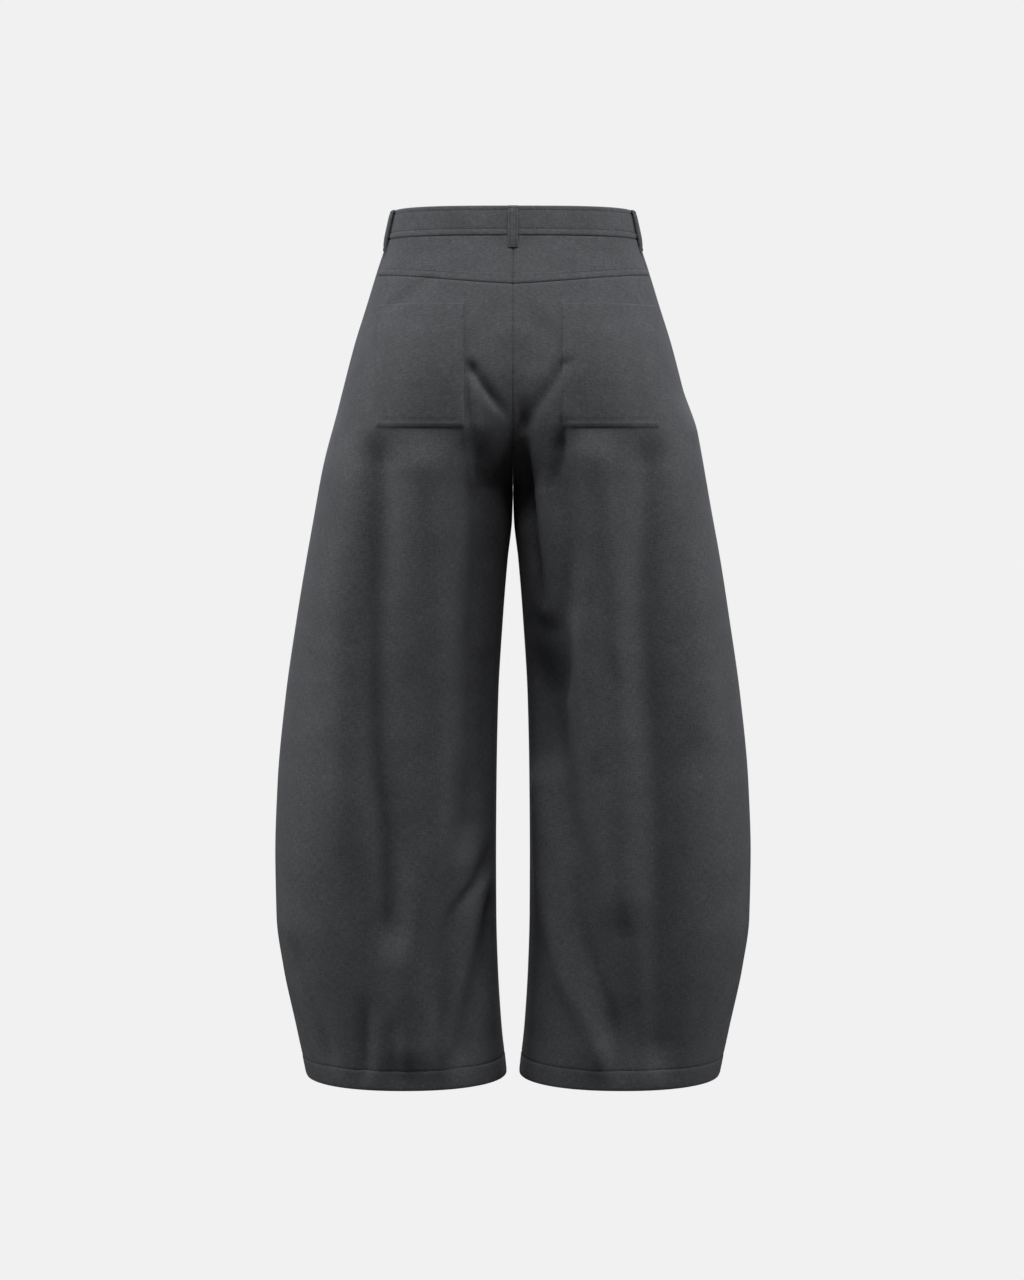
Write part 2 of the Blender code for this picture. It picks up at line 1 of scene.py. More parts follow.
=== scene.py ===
"""The looks of the barrel leg trousers: cloth, folds, seams, stitching, button, zip and studio.

Sizes in the classes are millimetres. The wearer faces -Y and their left is +X.
"""

import logging
import math
from dataclasses import dataclass, field
from enum import Enum, IntEnum

import bmesh
import bpy
import numpy as np
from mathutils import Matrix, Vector


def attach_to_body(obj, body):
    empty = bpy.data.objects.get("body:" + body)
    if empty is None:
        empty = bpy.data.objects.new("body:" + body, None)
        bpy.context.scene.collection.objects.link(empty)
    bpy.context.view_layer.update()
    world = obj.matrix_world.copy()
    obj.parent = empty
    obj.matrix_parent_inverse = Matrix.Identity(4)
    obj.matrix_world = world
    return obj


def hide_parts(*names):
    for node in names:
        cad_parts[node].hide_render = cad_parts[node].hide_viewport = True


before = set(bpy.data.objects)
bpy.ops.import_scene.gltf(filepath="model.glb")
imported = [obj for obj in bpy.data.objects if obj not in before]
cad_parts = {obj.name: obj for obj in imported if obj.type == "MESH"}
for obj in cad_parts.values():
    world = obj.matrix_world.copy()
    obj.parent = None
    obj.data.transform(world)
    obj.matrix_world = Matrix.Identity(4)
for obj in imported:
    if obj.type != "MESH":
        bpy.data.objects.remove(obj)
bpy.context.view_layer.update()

MM = 0.001
log = logging.getLogger("trousers")


class Side(IntEnum):
    """The wearer's leg or half."""

    RIGHT = -1
    LEFT = 1

    @property
    def word(self) -> str:
        """The side as it stands in a piece's name."""
        return self.name.lower()


class Face(IntEnum):
    """The half of a leg that a panel covers."""

    FRONT = -1
    BACK = 1


class Slot(Enum):
    """The record's material slots."""

    SUITING = "suiting"
    ZIP_TAPE = "zip_tape"
    BUTTON = "button"


def smooth_steps(value: np.ndarray | float) -> np.ndarray:
    """An even curve from 0 below 0 to 1 above 1.

    Args:
        value: Where to read the curve.

    Returns:
        The curve's height at each value.
    """
    held = np.clip(value, 0.0, 1.0)
    return held * held * (3.0 - 2.0 * held)


def smooth_between(at: np.ndarray, places: list[float], values: list[float]) -> np.ndarray:
    """A curve through the values that never swings past them.

    Args:
        at: Where to read the curve.
        places: The places of the values, rising or falling.
        values: The values there.

    Returns:
        The curve at each place asked for.
    """
    spots, heights = np.asarray(places, float), np.asarray(values, float)
    if spots[0] > spots[-1]:
        spots, heights = spots[::-1], heights[::-1]
    steps = np.diff(spots)
    rises = np.diff(heights) / steps
    slopes = np.zeros(len(heights))
    before, after = rises[:-1], rises[1:]
    turning = before * after <= 0.0
    weight = np.where(turning, 1.0, before + after)
    slopes[1:-1] = np.where(turning, 0.0, 2.0 * before * after / weight)
    slopes[0], slopes[-1] = rises[0], rises[-1]
    at = np.clip(at, spots[0], spots[-1])
    index = np.clip(np.searchsorted(spots, at, side="right") - 1, 0, len(steps) - 1)
    step = steps[index]
    t = (at - spots[index]) / step
    start = (1 + 2 * t) * (1 - t) ** 2 * heights[index] + t * (1 - t) ** 2 * step * slopes[index]
    end = t * t * (3 - 2 * t) * heights[index + 1] - t * t * (1 - t) * step * slopes[index + 1]
    return start + end


def bump_at(distance: np.ndarray, width: float) -> np.ndarray:
    """A soft bump of height 1.

    Args:
        distance: How far each point is from the bump's middle.
        width: How far the bump spreads.

    Returns:
        The bump's height at each point.
    """
    return np.exp(-((distance / width) ** 2))


def unit(vectors: np.ndarray) -> np.ndarray:
    """The same directions with length 1."""
    return vectors / np.maximum(np.linalg.norm(vectors, axis=-1, keepdims=True), 1e-9)


@dataclass(frozen=True)
class Section:
    """A level cut of one side, as distances from the centre and from the side seams' plane.

    peak is where the oval is deepest, and cleft says how far it has closed towards the other side
    when it meets the centre. gap is where it ends, and corner is the oval's exponent.
    """

    height: float
    out: float
    peak: float
    cleft: float
    gap: float
    back: float
    front: float
    corner: float


SECTIONS = (
    Section(17.0, 137.0, 8.0, 0.0, 0.15, 97.0, 95.0, 3.0),
    Section(-17.0, 144.7, 10.0, 0.0, 0.15, 103.0, 99.0, 2.9),
    Section(-50.0, 155.6, 18.0, 0.0, 0.15, 113.0, 104.0, 2.65),
    Section(-90.0, 168.2, 30.0, 0.03, 0.15, 125.0, 109.0, 2.5),
    Section(-130.0, 181.0, 50.0, 0.13, 0.15, 135.0, 113.0, 2.4),
    Section(-175.0, 193.0, 68.0, 0.3, 0.15, 140.0, 114.0, 2.35),
    Section(-220.0, 204.6, 82.0, 0.52, 0.15, 139.0, 114.0, 2.3),
    Section(-255.0, 212.7, 91.0, 0.74, 0.15, 136.0, 113.5, 2.3),
    Section(-275.0, 217.3, 96.0, 0.9, 0.15, 134.5, 113.0, 2.3),
    Section(-285.0, 219.5, 98.0, 0.965, 0.15, 133.5, 112.7, 2.3),
    Section(-295.0, 221.8, 100.0, 1.0, 0.15, 132.5, 112.3, 2.3),
    Section(-330.0, 229.3, 107.0, 1.0, 1.0, 129.5, 111.0, 2.3),
    Section(-380.0, 239.3, 117.0, 1.0, 6.4, 125.0, 108.5, 2.3),
    Section(-450.0, 251.6, 129.0, 1.0, 12.0, 120.0, 104.0, 2.25),
    Section(-540.0, 265.2, 140.0, 1.0, 17.3, 113.0, 99.0, 2.2),
    Section(-640.0, 275.4, 147.4, 1.0, 19.4, 108.0, 94.0, 2.2),
    Section(-730.0, 279.0, 149.5, 1.0, 20.0, 103.0, 88.0, 2.2),
    Section(-800.0, 278.2, 148.9, 1.0, 19.7, 98.0, 83.0, 2.2),
    Section(-860.0, 270.6, 144.3, 1.0, 18.0, 93.0, 76.0, 2.2),
    Section(-930.0, 256.4, 135.1, 1.0, 13.8, 86.0, 68.0, 2.2),
    Section(-988.0, 244.8, 126.2, 1.0, 7.7, 82.0, 62.0, 2.2),
)


@dataclass(frozen=True)
class Fold:
    """A long soft ridge (raise above 0) or trough (below 0) down the cloth.

    route holds (height, distance from the centre) from its upper end to its lower end. The widths
    are how far it spreads towards the centre and the side.
    """

    raise_by: float
    centre_width: float
    side_width: float
    route: tuple[tuple[float, float], ...]


FOLDS = {
    (Side.LEFT, Face.BACK): (
        Fold(6, 26, 26, ((-205, 198), (-300, 193), (-420, 196), (-640, 192), (-770, 190))),
        Fold(-12, 20, 16, ((-224, 152), (-268, 148), (-300, 147), (-470, 154), (-580, 155),
                           (-696, 145), (-784, 140), (-840, 137))),
        Fold(8, 22, 26, ((-224, 100), (-275, 97), (-470, 88), (-583, 85), (-669, 87),
                         (-814, 114), (-933, 121), (-980, 122))),
        Fold(-13, 16, 18, ((-222, 42), (-262, 38), (-358, 34), (-472, 40), (-588, 41),
                           (-674, 46), (-730, 48))),
        Fold(-6, 9, 9, ((-695, 26), (-740, 36), (-782, 67), (-874, 87), (-940, 92))),
        Fold(-9, 16, 14, ((-745, 14), (-790, 22), (-852, 38), (-937, 58), (-986, 66))),
        Fold(5, 10, 10, ((-745, 32), (-790, 44), (-849, 56), (-935, 75), (-984, 82))),
        Fold(-4, 8, 8, ((-865, 168), (-910, 168), (-957, 169), (-987, 169))),
        Fold(-3, 9, 9, ((-890, 136), (-920, 136), (-956, 136), (-987, 136))),
        Fold(-5, 10, 12, ((-800, 262), (-840, 249), (-938, 214), (-985, 204))),
        Fold(4, 7, 5, ((-165, 44), (-200, 44), (-279, 41), (-305, 39))),
        Fold(-6, 8, 6, ((-150, 50), (-165, 44), (-188, 28), (-225, 2))),
    ),
    (Side.RIGHT, Face.BACK): (
        Fold(-7, 8, 10, ((-185, 12), (-225, 11), (-315, 12), (-350, 16))),
        Fold(-7, 7, 8, ((-235, 6), (-262, 6), (-331, 17), (-415, 33), (-445, 36))),
        Fold(5, 7, 8, ((-268, 33), (-302, 33), (-364, 36), (-426, 37), (-455, 38))),
        Fold(-8, 11, 12, ((-222, 54), (-250, 54), (-279, 57), (-357, 66), (-413, 61),
                          (-499, 56), (-545, 52))),
        Fold(-9, 16, 16, ((-415, 38), (-460, 39), (-512, 43), (-587, 43), (-645, 46))),
        Fold(5, 9, 9, ((-422, 65), (-460, 68), (-515, 78), (-583, 90), (-625, 96))),
        Fold(8, 22, 22, ((-222, 88), (-262, 90), (-301, 93), (-412, 105), (-525, 111),
                         (-755, 119), (-810, 121))),
        Fold(-9, 20, 20, ((-224, 148), (-270, 148), (-301, 148), (-412, 146), (-525, 153),
                          (-639, 163), (-933, 168), (-987, 168))),
        Fold(6, 24, 22, ((-180, 190), (-235, 197), (-308, 201), (-420, 213), (-527, 213),
                         (-610, 212))),
        Fold(-14, 14, 26, ((-455, 28), (-531, 34), (-644, 51), (-729, 73), (-815, 91),
                           (-903, 114), (-987, 124))),
        Fold(7, 12, 14, ((-600, 26), (-637, 28), (-736, 34), (-848, 57), (-934, 91), (-986, 102))),
    ),
    (Side.LEFT, Face.FRONT): (
        Fold(-9, 17, 22, ((-165, 58), (-240, 60), (-380, 70), (-560, 76), (-700, 70), (-790, 64))),
        Fold(7, 24, 24, ((-185, 104), (-280, 106), (-460, 112), (-640, 118), (-760, 116),
                         (-850, 112))),
        Fold(-8, 18, 18, ((-255, 160), (-340, 158), (-520, 164), (-680, 160), (-800, 150),
                          (-890, 146))),
        Fold(-6, 9, 12, ((-205, 10), (-250, 18), (-330, 34), (-430, 48), (-530, 52))),
        Fold(5, 20, 20, ((-290, 200), (-380, 210), (-560, 224), (-700, 230), (-790, 228))),
        Fold(-6, 12, 12, ((-815, 90), (-860, 95), (-930, 106), (-987, 112))),
        Fold(-7, 14, 12, ((-780, 28), (-840, 40), (-930, 62), (-986, 74))),
    ),
    (Side.RIGHT, Face.FRONT): (
        Fold(-8, 15, 20, ((-175, 66), (-260, 64), (-400, 60), (-540, 66), (-660, 78), (-740, 84))),
        Fold(7, 22, 26, ((-200, 112), (-300, 108), (-450, 104), (-620, 112), (-780, 124),
                         (-880, 128))),
        Fold(-9, 20, 17, ((-240, 152), (-330, 156), (-500, 152), (-660, 158), (-790, 164),
                          (-870, 166))),
        Fold(-6, 9, 11, ((-210, 12), (-255, 22), (-320, 36), (-400, 44), (-480, 46))),
        Fold(5, 20, 20, ((-310, 204), (-400, 214), (-580, 226), (-690, 232), (-770, 230))),
        Fold(-9, 13, 20, ((-640, 34), (-700, 42), (-790, 58), (-880, 80), (-986, 96))),
        Fold(-5, 12, 12, ((-850, 140), (-890, 142), (-940, 150), (-987, 154))),
    ),
}

CREASES = {
    (Side.LEFT, Face.BACK): (
        Fold(-1.6, 14, 12, ((-56, 86), (-66, 94), (-92, 128), (-104, 140))),
        Fold(-2.5, 5, 5, ((-158, 53), (-170, 52), (-197, 49), (-241, 42), (-274, 36), (-292, 34))),
        Fold(1.6, 5, 5, ((-165, 62), (-190, 60), (-240, 52), (-290, 46))),
    ),
    (Side.RIGHT, Face.BACK): (
        Fold(-1.8, 16, 16, ((-96, 24), (-120, 32), (-154, 26), (-176, 20))),
        Fold(-3, 9, 9, ((-148, 64), (-159, 56), (-190, 36), (-219, 16), (-240, 6))),
        Fold(-3, 6, 6, ((-210, 57), (-225, 56), (-262, 52), (-300, 44))),
        Fold(-2, 5, 6, ((-390, 84), (-420, 88), (-490, 104), (-530, 114))),
    ),
    (Side.LEFT, Face.FRONT): (
        Fold(-2.5, 7, 7, ((-178, 30), (-190, 24), (-225, 10), (-250, 4))),
        Fold(-2, 9, 9, ((-196, 60), (-212, 48), (-255, 26), (-290, 12))),
    ),
    (Side.RIGHT, Face.FRONT): (
        Fold(-2.5, 7, 8, ((-176, 34), (-192, 26), (-228, 12), (-252, 4))),
        Fold(-2, 9, 8, ((-200, 56), (-216, 46), (-262, 28), (-294, 14))),
    ),
}


@dataclass
class WornForm:
    """The outside of the worn cloth, as a table of level cuts.

    A place on it is (side, height, around), where around is the length along the level cut from
    the widest point, below 0 towards the back.
    """

    top: float = 17.0
    foot: float = -988.0
    reach: float = 480.0
    step: float = 1.0
    outer_points: int = 361
    inner_points: int = 120
    half_gap: float = 0.15
    side_calm: float = 26.0
    inner_calm: float = 9.0
    seam_shift: float = 46.0
    shift_start: float = -60.0
    shift_end: float = -420.0
    probe: float = 1.5
    x: dict[Side, np.ndarray] = field(default_factory=dict)
    y: dict[Side, np.ndarray] = field(default_factory=dict)
    plain_x: dict[Side, np.ndarray] = field(default_factory=dict)
    ends: dict[Side, np.ndarray] = field(default_factory=dict)

    def __post_init__(self) -> None:
        """Fills the tables of both sides."""
        heights = np.arange(self.top, self.foot - 0.5 * self.step, -self.step)
        self.arounds = np.arange(-self.reach, self.reach + 0.5 * self.step, self.step)
        for side in Side:
            cuts = [self.level_cut(side, float(height)) for height in heights]
            self.x[side] = np.array([cut[0] for cut in cuts])
            self.y[side] = np.array([cut[1] for cut in cuts])
            self.plain_x[side] = np.array([cut[2] for cut in cuts])
            self.ends[side] = np.array([cut[3] for cut in cuts])

    def section(self, height: float) -> list[float]:
        """The sizes of the level cut at a height, in the order of Section after its height."""
        heights = [section.height for section in SECTIONS]
        names = ("out", "peak", "cleft", "gap", "back", "front", "corner")
        return [
            float(smooth_between(height, heights, [getattr(s, name) for s in SECTIONS]))
            for name in names
        ]

    def plain_line(self, height: float) -> tuple[np.ndarray, np.ndarray]:
        """The left side's level line without folds, from its back end to its front end."""
        out, peak, cleft, gap, back, front, corner = self.section(height)
        turn = np.linspace(math.pi / 2.0, -math.pi / 2.0, self.outer_points)
        power = 2.0 / corner
        outer_x = peak + (out - peak) * np.abs(np.cos(turn)) ** power
        depth = np.where(turn > 0.0, back, front)
        outer_y = depth * np.sign(np.sin(turn)) * np.abs(np.sin(turn)) ** power
        away = 1.0 - np.linspace(0.0, 1.0, self.inner_points)[:-1] ** corner
        inner_x = peak + (gap - peak) * away
        closed = np.minimum(cleft * away, 1.0)
        inner_y = (1.0 - closed**corner) ** (1.0 / corner)
        x = np.concatenate([inner_x, outer_x, inner_x[::-1]])
        y = np.concatenate([back * inner_y, outer_y, -front * inner_y[::-1]])
        return np.maximum(x, self.half_gap), y

    def fold_rise(self, side: Side, face: Face, height: float, across: np.ndarray) -> np.ndarray:
        """How far the folds move the cloth outwards.

        Args:
            side: The wearer's side.
            face: Front or back.
            height: The height of the level cut.
            across: Distances from the centre.

        Returns:
            The rise at each distance.
        """
        rise = np.zeros_like(across)
        for fold in FOLDS[side, face] + CREASES[side, face]:
            heights = [point[0] for point in fold.route]
            if not heights[-1] < height < heights[0]:
                continue
            middle = float(smooth_between(height, heights, [point[1] for point in fold.route]))
            strength = smooth_steps((heights[0] - height) / (heights[0] - heights[1]))
            strength *= smooth_steps((height - heights[-1]) / (heights[-2] - heights[-1]))
            offset = across - middle
            width = np.where(offset < 0.0, fold.centre_width, fold.side_width)
            rise += fold.raise_by * strength * bump_at(offset, width)
        return rise

    def level_cut(
        self, side: Side, height: float
    ) -> tuple[np.ndarray, np.ndarray, np.ndarray, tuple[float, float]]:
        """One level cut with its folds, read at the table's places.

        Args:
            side: The wearer's side.
            height: The height of the cut.

        Returns:
            x and y with folds, x without them, and where the cut starts and ends.
        """
        x, y = self.plain_line(height)
        length = np.concatenate([[0.0], np.cumsum(np.hypot(np.diff(x), np.diff(y)))])
        out_x, out_y = -np.gradient(y, length), np.gradient(x, length)
        scale = np.hypot(out_x, out_y)
        widest = length[int(np.argmax(x))]
        calm = smooth_steps((x - x[0]) / self.inner_calm)
        calm = calm * smooth_steps(np.abs(length - widest) / self.side_calm)
        rise = calm * np.where(
            length < widest,
            self.fold_rise(side, Face.BACK, height, x),
            self.fold_rise(side, Face.FRONT, height, x),
        )
        folded_x = np.maximum(x + out_x / scale * rise, self.half_gap)
        folded_y = y + out_y / scale * rise
        around = length - widest
        return (
            np.interp(self.arounds, around, folded_x),
            np.interp(self.arounds, around, folded_y),
            np.interp(self.arounds, around, x),
            (float(around[0]), float(around[-1])),
        )

    def row(self, height: np.ndarray) -> np.ndarray:
        """The table's row, with its fraction, at each height."""
        return np.clip((self.top - height) / self.step, 0.0, len(self.x[Side.LEFT]) - 1.001)

    def end(self, side: Side, face: Face, height: np.ndarray) -> np.ndarray:
        """Where the level cuts meet the centre or the inside leg, on the back or the front."""
        rows = self.row(np.asarray(height, float))
        column = 0 if face is Face.BACK else 1
        return np.interp(rows, np.arange(len(self.ends[side])), self.ends[side][:, column])

    def side_seam(self, height: np.ndarray) -> np.ndarray:
        """Where the side seam lies at each height."""
        fallen = (self.shift_start - height) / (self.shift_start - self.shift_end)
        return -self.seam_shift * (1.0 - smooth_steps(fallen))

    def point(self, side: Side, height: np.ndarray, around: np.ndarray) -> np.ndarray:
        """Points of the cloth's outside.

        Args:
            side: The wearer's side.
            height: The points' heights.
            around: Their lengths along the level cuts.

        Returns:
            An array with a last axis of x, y and z.
        """
        height, around = np.broadcast_arrays(np.asarray(height, float), np.asarray(around, float))
        rows = self.row(height)
        top = rows.astype(int)
        down = rows - top
        columns = np.clip((around + self.reach) / self.step, 0.0, len(self.arounds) - 1.001)
        start = columns.astype(int)
        along = columns - start
        read = []
        for table in (self.x[side], self.y[side]):
            upper = table[top, start] * (1.0 - along) + table[top, start + 1] * along
            lower = table[top + 1, start] * (1.0 - along) + table[top + 1, start + 1] * along
            read.append(upper * (1.0 - down) + lower * down)
        return np.stack([int(side) * read[0], read[1], height], axis=-1)

    def outward(self, side: Side, height: np.ndarray, around: np.ndarray) -> np.ndarray:
        """The direction out of the cloth at each point."""
        back, front = self.end(side, Face.BACK, height), self.end(side, Face.FRONT, height)
        ahead = np.clip(around + self.probe, back, front)
        behind = np.clip(around - self.probe, back, front)
        over = np.clip(np.asarray(height) + self.probe, self.foot, self.top)
        below = np.clip(np.asarray(height) - self.probe, self.foot, self.top)
        rounding = self.point(side, height, ahead) - self.point(side, height, behind)
        rising = self.point(side, over, around) - self.point(side, below, around)
        return unit(int(side) * np.cross(rising, rounding))

    def lay(
        self, side: Side, height: np.ndarray, around: np.ndarray, rise: np.ndarray
    ) -> np.ndarray:
        """Points that stand off the cloth's outside by the rise."""
        lifted = np.asarray(rise, float)[..., None] * self.outward(side, height, around)
        return self.point(side, height, around) + lifted

    def around_at(
        self, side: Side, face: Face, height: np.ndarray, across: np.ndarray
    ) -> np.ndarray:
        """Where a distance from the centre lies along the level cuts.

        Args:
            side: The wearer's side.
            face: Front or back.
            height: The heights, one for each distance.
            across: The distances from the centre.

        Returns:
            The place of each along its level cut.
        """
        height, across = np.broadcast_arrays(np.asarray(height, float), np.asarray(across, float))
        found = np.empty(height.shape)
        middle = len(self.arounds) // 2
        for index in np.ndindex(height.shape):
            line = self.plain_x[side][int(round(float(self.row(height[index]))))]
            if face is Face.BACK:
                found[index] = np.interp(across[index], line[: middle + 1], self.arounds[: middle + 1])
            else:
                found[index] = np.interp(
                    across[index], line[middle:][::-1], self.arounds[middle:][::-1]
                )
        back, front = self.end(side, Face.BACK, height), self.end(side, Face.FRONT, height)
        return np.clip(found, back, front)


@dataclass(frozen=True)
class YokeLine:
    """The yoke seam, which dips towards the centre back."""

    side: float = -56.0
    centre: float = -69.0
    reach: float = 150.0
    power: float = 1.3

    def height(self, across: np.ndarray) -> np.ndarray:
        """The seam's height at each distance from the centre back."""
        share = np.minimum(np.abs(across) / self.reach, 1.1) ** self.power
        return self.centre + (self.side - self.centre) * share


BAND_SEAM = -15.5
YOKE = YokeLine()
FLY_END = -172.0
HEM_FOLD = -965.0
HEM = -988.0
CLOTH = 1.5
SEAM_CLOSE = 0.03


def linear(colour: str) -> tuple[float, float, float, float]:
    """An sRGB hex colour as the linear colour that shaders read.

    Args:
        colour: The colour, such as "#55565a".

    Returns:
        Red, green, blue and an alpha of 1.
    """
    parts = [int(colour[i : i + 2], 16) / 255.0 for i in (1, 3, 5)]
    red, green, blue = (
        part / 12.92 if part <= 0.04045 else ((part + 0.055) / 1.055) ** 2.4 for part in parts
    )
    return red, green, blue, 1.0


def add_node(
    tree: bpy.types.NodeTree,
    kind: str,
    settings: dict[str, object] | None = None,
    values: dict[str | int, object] | None = None,
    links: dict[str | int, bpy.types.NodeSocket] | None = None,
) -> bpy.types.Node:
    """Adds a shader node with its settings, input values and links.

    Args:
        tree: The node tree.
        kind: The node's type name.
        settings: Attributes of the node.
        values: Values of its inputs, by name or number.
        links: Sockets linked to its inputs, by name or number.

    Returns:
        The new node.
    """
    node = tree.nodes.new(kind)
    for name, value in (settings or {}).items():
        setattr(node, name, value)
    for name, value in (values or {}).items():
        node.inputs[name].default_value = value
    for name, socket in (links or {}).items():
        tree.links.new(socket, node.inputs[name])
    return node


def new_material(name: str) -> tuple[bpy.types.Material, bpy.types.Node]:
    """A new material and its main shader."""
    material = bpy.data.materials.new(name)
    material.use_nodes = True
    return material, material.node_tree.nodes["Principled BSDF"]


@dataclass(frozen=True)
class MelangeSuiting:
    """Wool-blend suiting: dark cool grey yarn with lighter fibres, woven, then pressed.

    The mixed fibres give short lighter and darker flecks along both yarns, and the pressed weave
    gives a soft sheen. Its real yarns lie about 0.4 mm apart and are drawn coarser, so they show.
    """

    dark: str = "#3d3e41"
    middle: str = "#505154"
    light: str = "#66676b"
    fleck_long: float = 7.0
    fleck_thin: float = 1.3
    fibre: float = 0.9
    mottle: float = 38.0
    roughness: float = 0.78
    sheen: float = 0.12
    sheen_roughness: float = 0.45
    bump_strength: float = 0.35
    bump_height: float = 0.25

    def flecks(
        self, tree: bpy.types.NodeTree, grain: bpy.types.Node, wide: float, tall: float
    ) -> bpy.types.NodeSocket:
        """A pattern of flecks of one size on the cloth's own UV map, from 0 to 1."""
        scale = (1.0 / (wide * MM), 1.0 / (tall * MM), 1.0)
        mapped = add_node(
            tree, "ShaderNodeMapping", values={"Scale": scale}, links={"Vector": grain.outputs["UV"]}
        )
        noise = add_node(
            tree,
            "ShaderNodeTexNoise",
            values={"Scale": 1.0, "Detail": 3.0, "Roughness": 0.6},
            links={"Vector": mapped.outputs["Vector"]},
        )
        return noise.outputs["Fac"]

    def mixed(
        self,
        tree: bpy.types.NodeTree,
        parts: list[tuple[float, bpy.types.NodeSocket]],
    ) -> bpy.types.NodeSocket:
        """The sum of several patterns, each with its share."""
        total: bpy.types.NodeSocket | None = None
        for share, socket in parts:
            scaled = add_node(
                tree, "ShaderNodeMath", {"operation": "MULTIPLY"}, {1: share}, {0: socket}
            ).outputs[0]
            total = (
                scaled
                if total is None
                else add_node(
                    tree, "ShaderNodeMath", {"operation": "ADD"}, links={0: total, 1: scaled}
                ).outputs[0]
            )
        return total

    def material(self) -> bpy.types.Material:
        """The woven cloth's material."""
        material, shader = new_material("melange_wool_suiting_woven")
        tree = material.node_tree
        grain = add_node(tree, "ShaderNodeUVMap", {"uv_map": "grain"})
        weft = self.flecks(tree, grain, self.fleck_long, self.fleck_thin)
        warp = self.flecks(tree, grain, self.fleck_thin, self.fleck_long)
        fibre = self.flecks(tree, grain, self.fibre, self.fibre)
        mottle = self.flecks(tree, grain, self.mottle, self.mottle)
        tone = self.mixed(tree, [(0.3, weft), (0.3, warp), (0.25, fibre), (0.15, mottle)])
        ramp = add_node(tree, "ShaderNodeValToRGB", links={"Fac": tone})
        ramp.color_ramp.elements[0].position = 0.36
        ramp.color_ramp.elements[0].color = linear(self.dark)
        ramp.color_ramp.elements[1].position = 0.64
        ramp.color_ramp.elements[1].color = linear(self.light)
        ramp.color_ramp.elements.new(0.5).color = linear(self.middle)
        tree.links.new(ramp.outputs["Color"], shader.inputs["Base Color"])
        relief = self.mixed(tree, [(0.4, weft), (0.4, warp), (0.2, fibre)])
        bump = add_node(
            tree,
            "ShaderNodeBump",
            values={"Strength": self.bump_strength, "Distance": self.bump_height * MM},
            links={"Height": relief},
        )
        tree.links.new(bump.outputs["Normal"], shader.inputs["Normal"])
        rough = add_node(
            tree,
            "ShaderNodeMapRange",
            values={"To Min": self.roughness - 0.06, "To Max": self.roughness + 0.06},
            links={"Value": tone},
        )
        tree.links.new(rough.outputs["Result"], shader.inputs["Roughness"])
        shader.inputs["Sheen Weight"].default_value = self.sheen
        shader.inputs["Sheen Roughness"].default_value = self.sheen_roughness
        shader.inputs["Sheen Tint"].default_value = linear("#b8bac2")
        shader.inputs["Specular IOR Level"].default_value = 0.3
        return material


@dataclass(frozen=True)
class SpunThread:
    """Spun polyester sewing thread, dyed to match: two plies twisted, a little darker and glossier."""

    name: str = "spun_polyester_thread_dyed"
    dark: str = "#18191b"
    light: str = "#2b2c2f"
    ply: float = 0.5
    roughness: float = 0.6

    def material(self) -> bpy.types.Material:
        """The thread's material."""
        material, shader = new_material(self.name)
        tree = material.node_tree
        place = add_node(tree, "ShaderNodeTexCoord")
        twist = add_node(
            tree,
            "ShaderNodeTexWave",
            {"bands_direction": "DIAGONAL"},
            {"Scale": 1.0 / (self.ply * MM) / 20.0, "Distortion": 1.0},
            {"Vector": place.outputs["Object"]},
        )
        ramp = add_node(tree, "ShaderNodeValToRGB", links={"Fac": twist.outputs["Fac"]})
        ramp.color_ramp.elements[0].color = linear(self.dark)
        ramp.color_ramp.elements[1].color = linear(self.light)
        tree.links.new(ramp.outputs["Color"], shader.inputs["Base Color"])
        bump = add_node(
            tree,
            "ShaderNodeBump",
            values={"Strength": 0.4, "Distance": 0.1 * MM},
            links={"Height": twist.outputs["Fac"]},
        )
        tree.links.new(bump.outputs["Normal"], shader.inputs["Normal"])
        shader.inputs["Roughness"].default_value = self.roughness
        return material


@dataclass(frozen=True)
class MouldedPlastic:
    """Moulded plastic, smooth with a faint cloud in its colour and its gloss.

    The button is cast polyester resin and the zip's coil and slider are nylon and lacquered zinc.
    """

    name: str
    dark: str
    light: str
    grain: float
    roughness: float
    metallic: float = 0.0

    def material(self) -> bpy.types.Material:
        """The plastic's material."""
        material, shader = new_material(self.name)
        tree = material.node_tree
        place = add_node(tree, "ShaderNodeTexCoord")
        cloud = add_node(
            tree,
            "ShaderNodeTexNoise",
            values={"Scale": 1.0 / (self.grain * MM), "Detail": 4.0},
            links={"Vector": place.outputs["Object"]},
        )
        ramp = add_node(tree, "ShaderNodeValToRGB", links={"Fac": cloud.outputs["Fac"]})
        ramp.color_ramp.elements[0].position = 0.35
        ramp.color_ramp.elements[0].color = linear(self.dark)
        ramp.color_ramp.elements[1].position = 0.65
        ramp.color_ramp.elements[1].color = linear(self.light)
        tree.links.new(ramp.outputs["Color"], shader.inputs["Base Color"])
        rough = add_node(
            tree,
            "ShaderNodeMapRange",
            values={"To Min": self.roughness - 0.07, "To Max": self.roughness + 0.07},
            links={"Value": cloud.outputs["Fac"]},
        )
        tree.links.new(rough.outputs["Result"], shader.inputs["Roughness"])
        shader.inputs["Metallic"].default_value = self.metallic
        return material


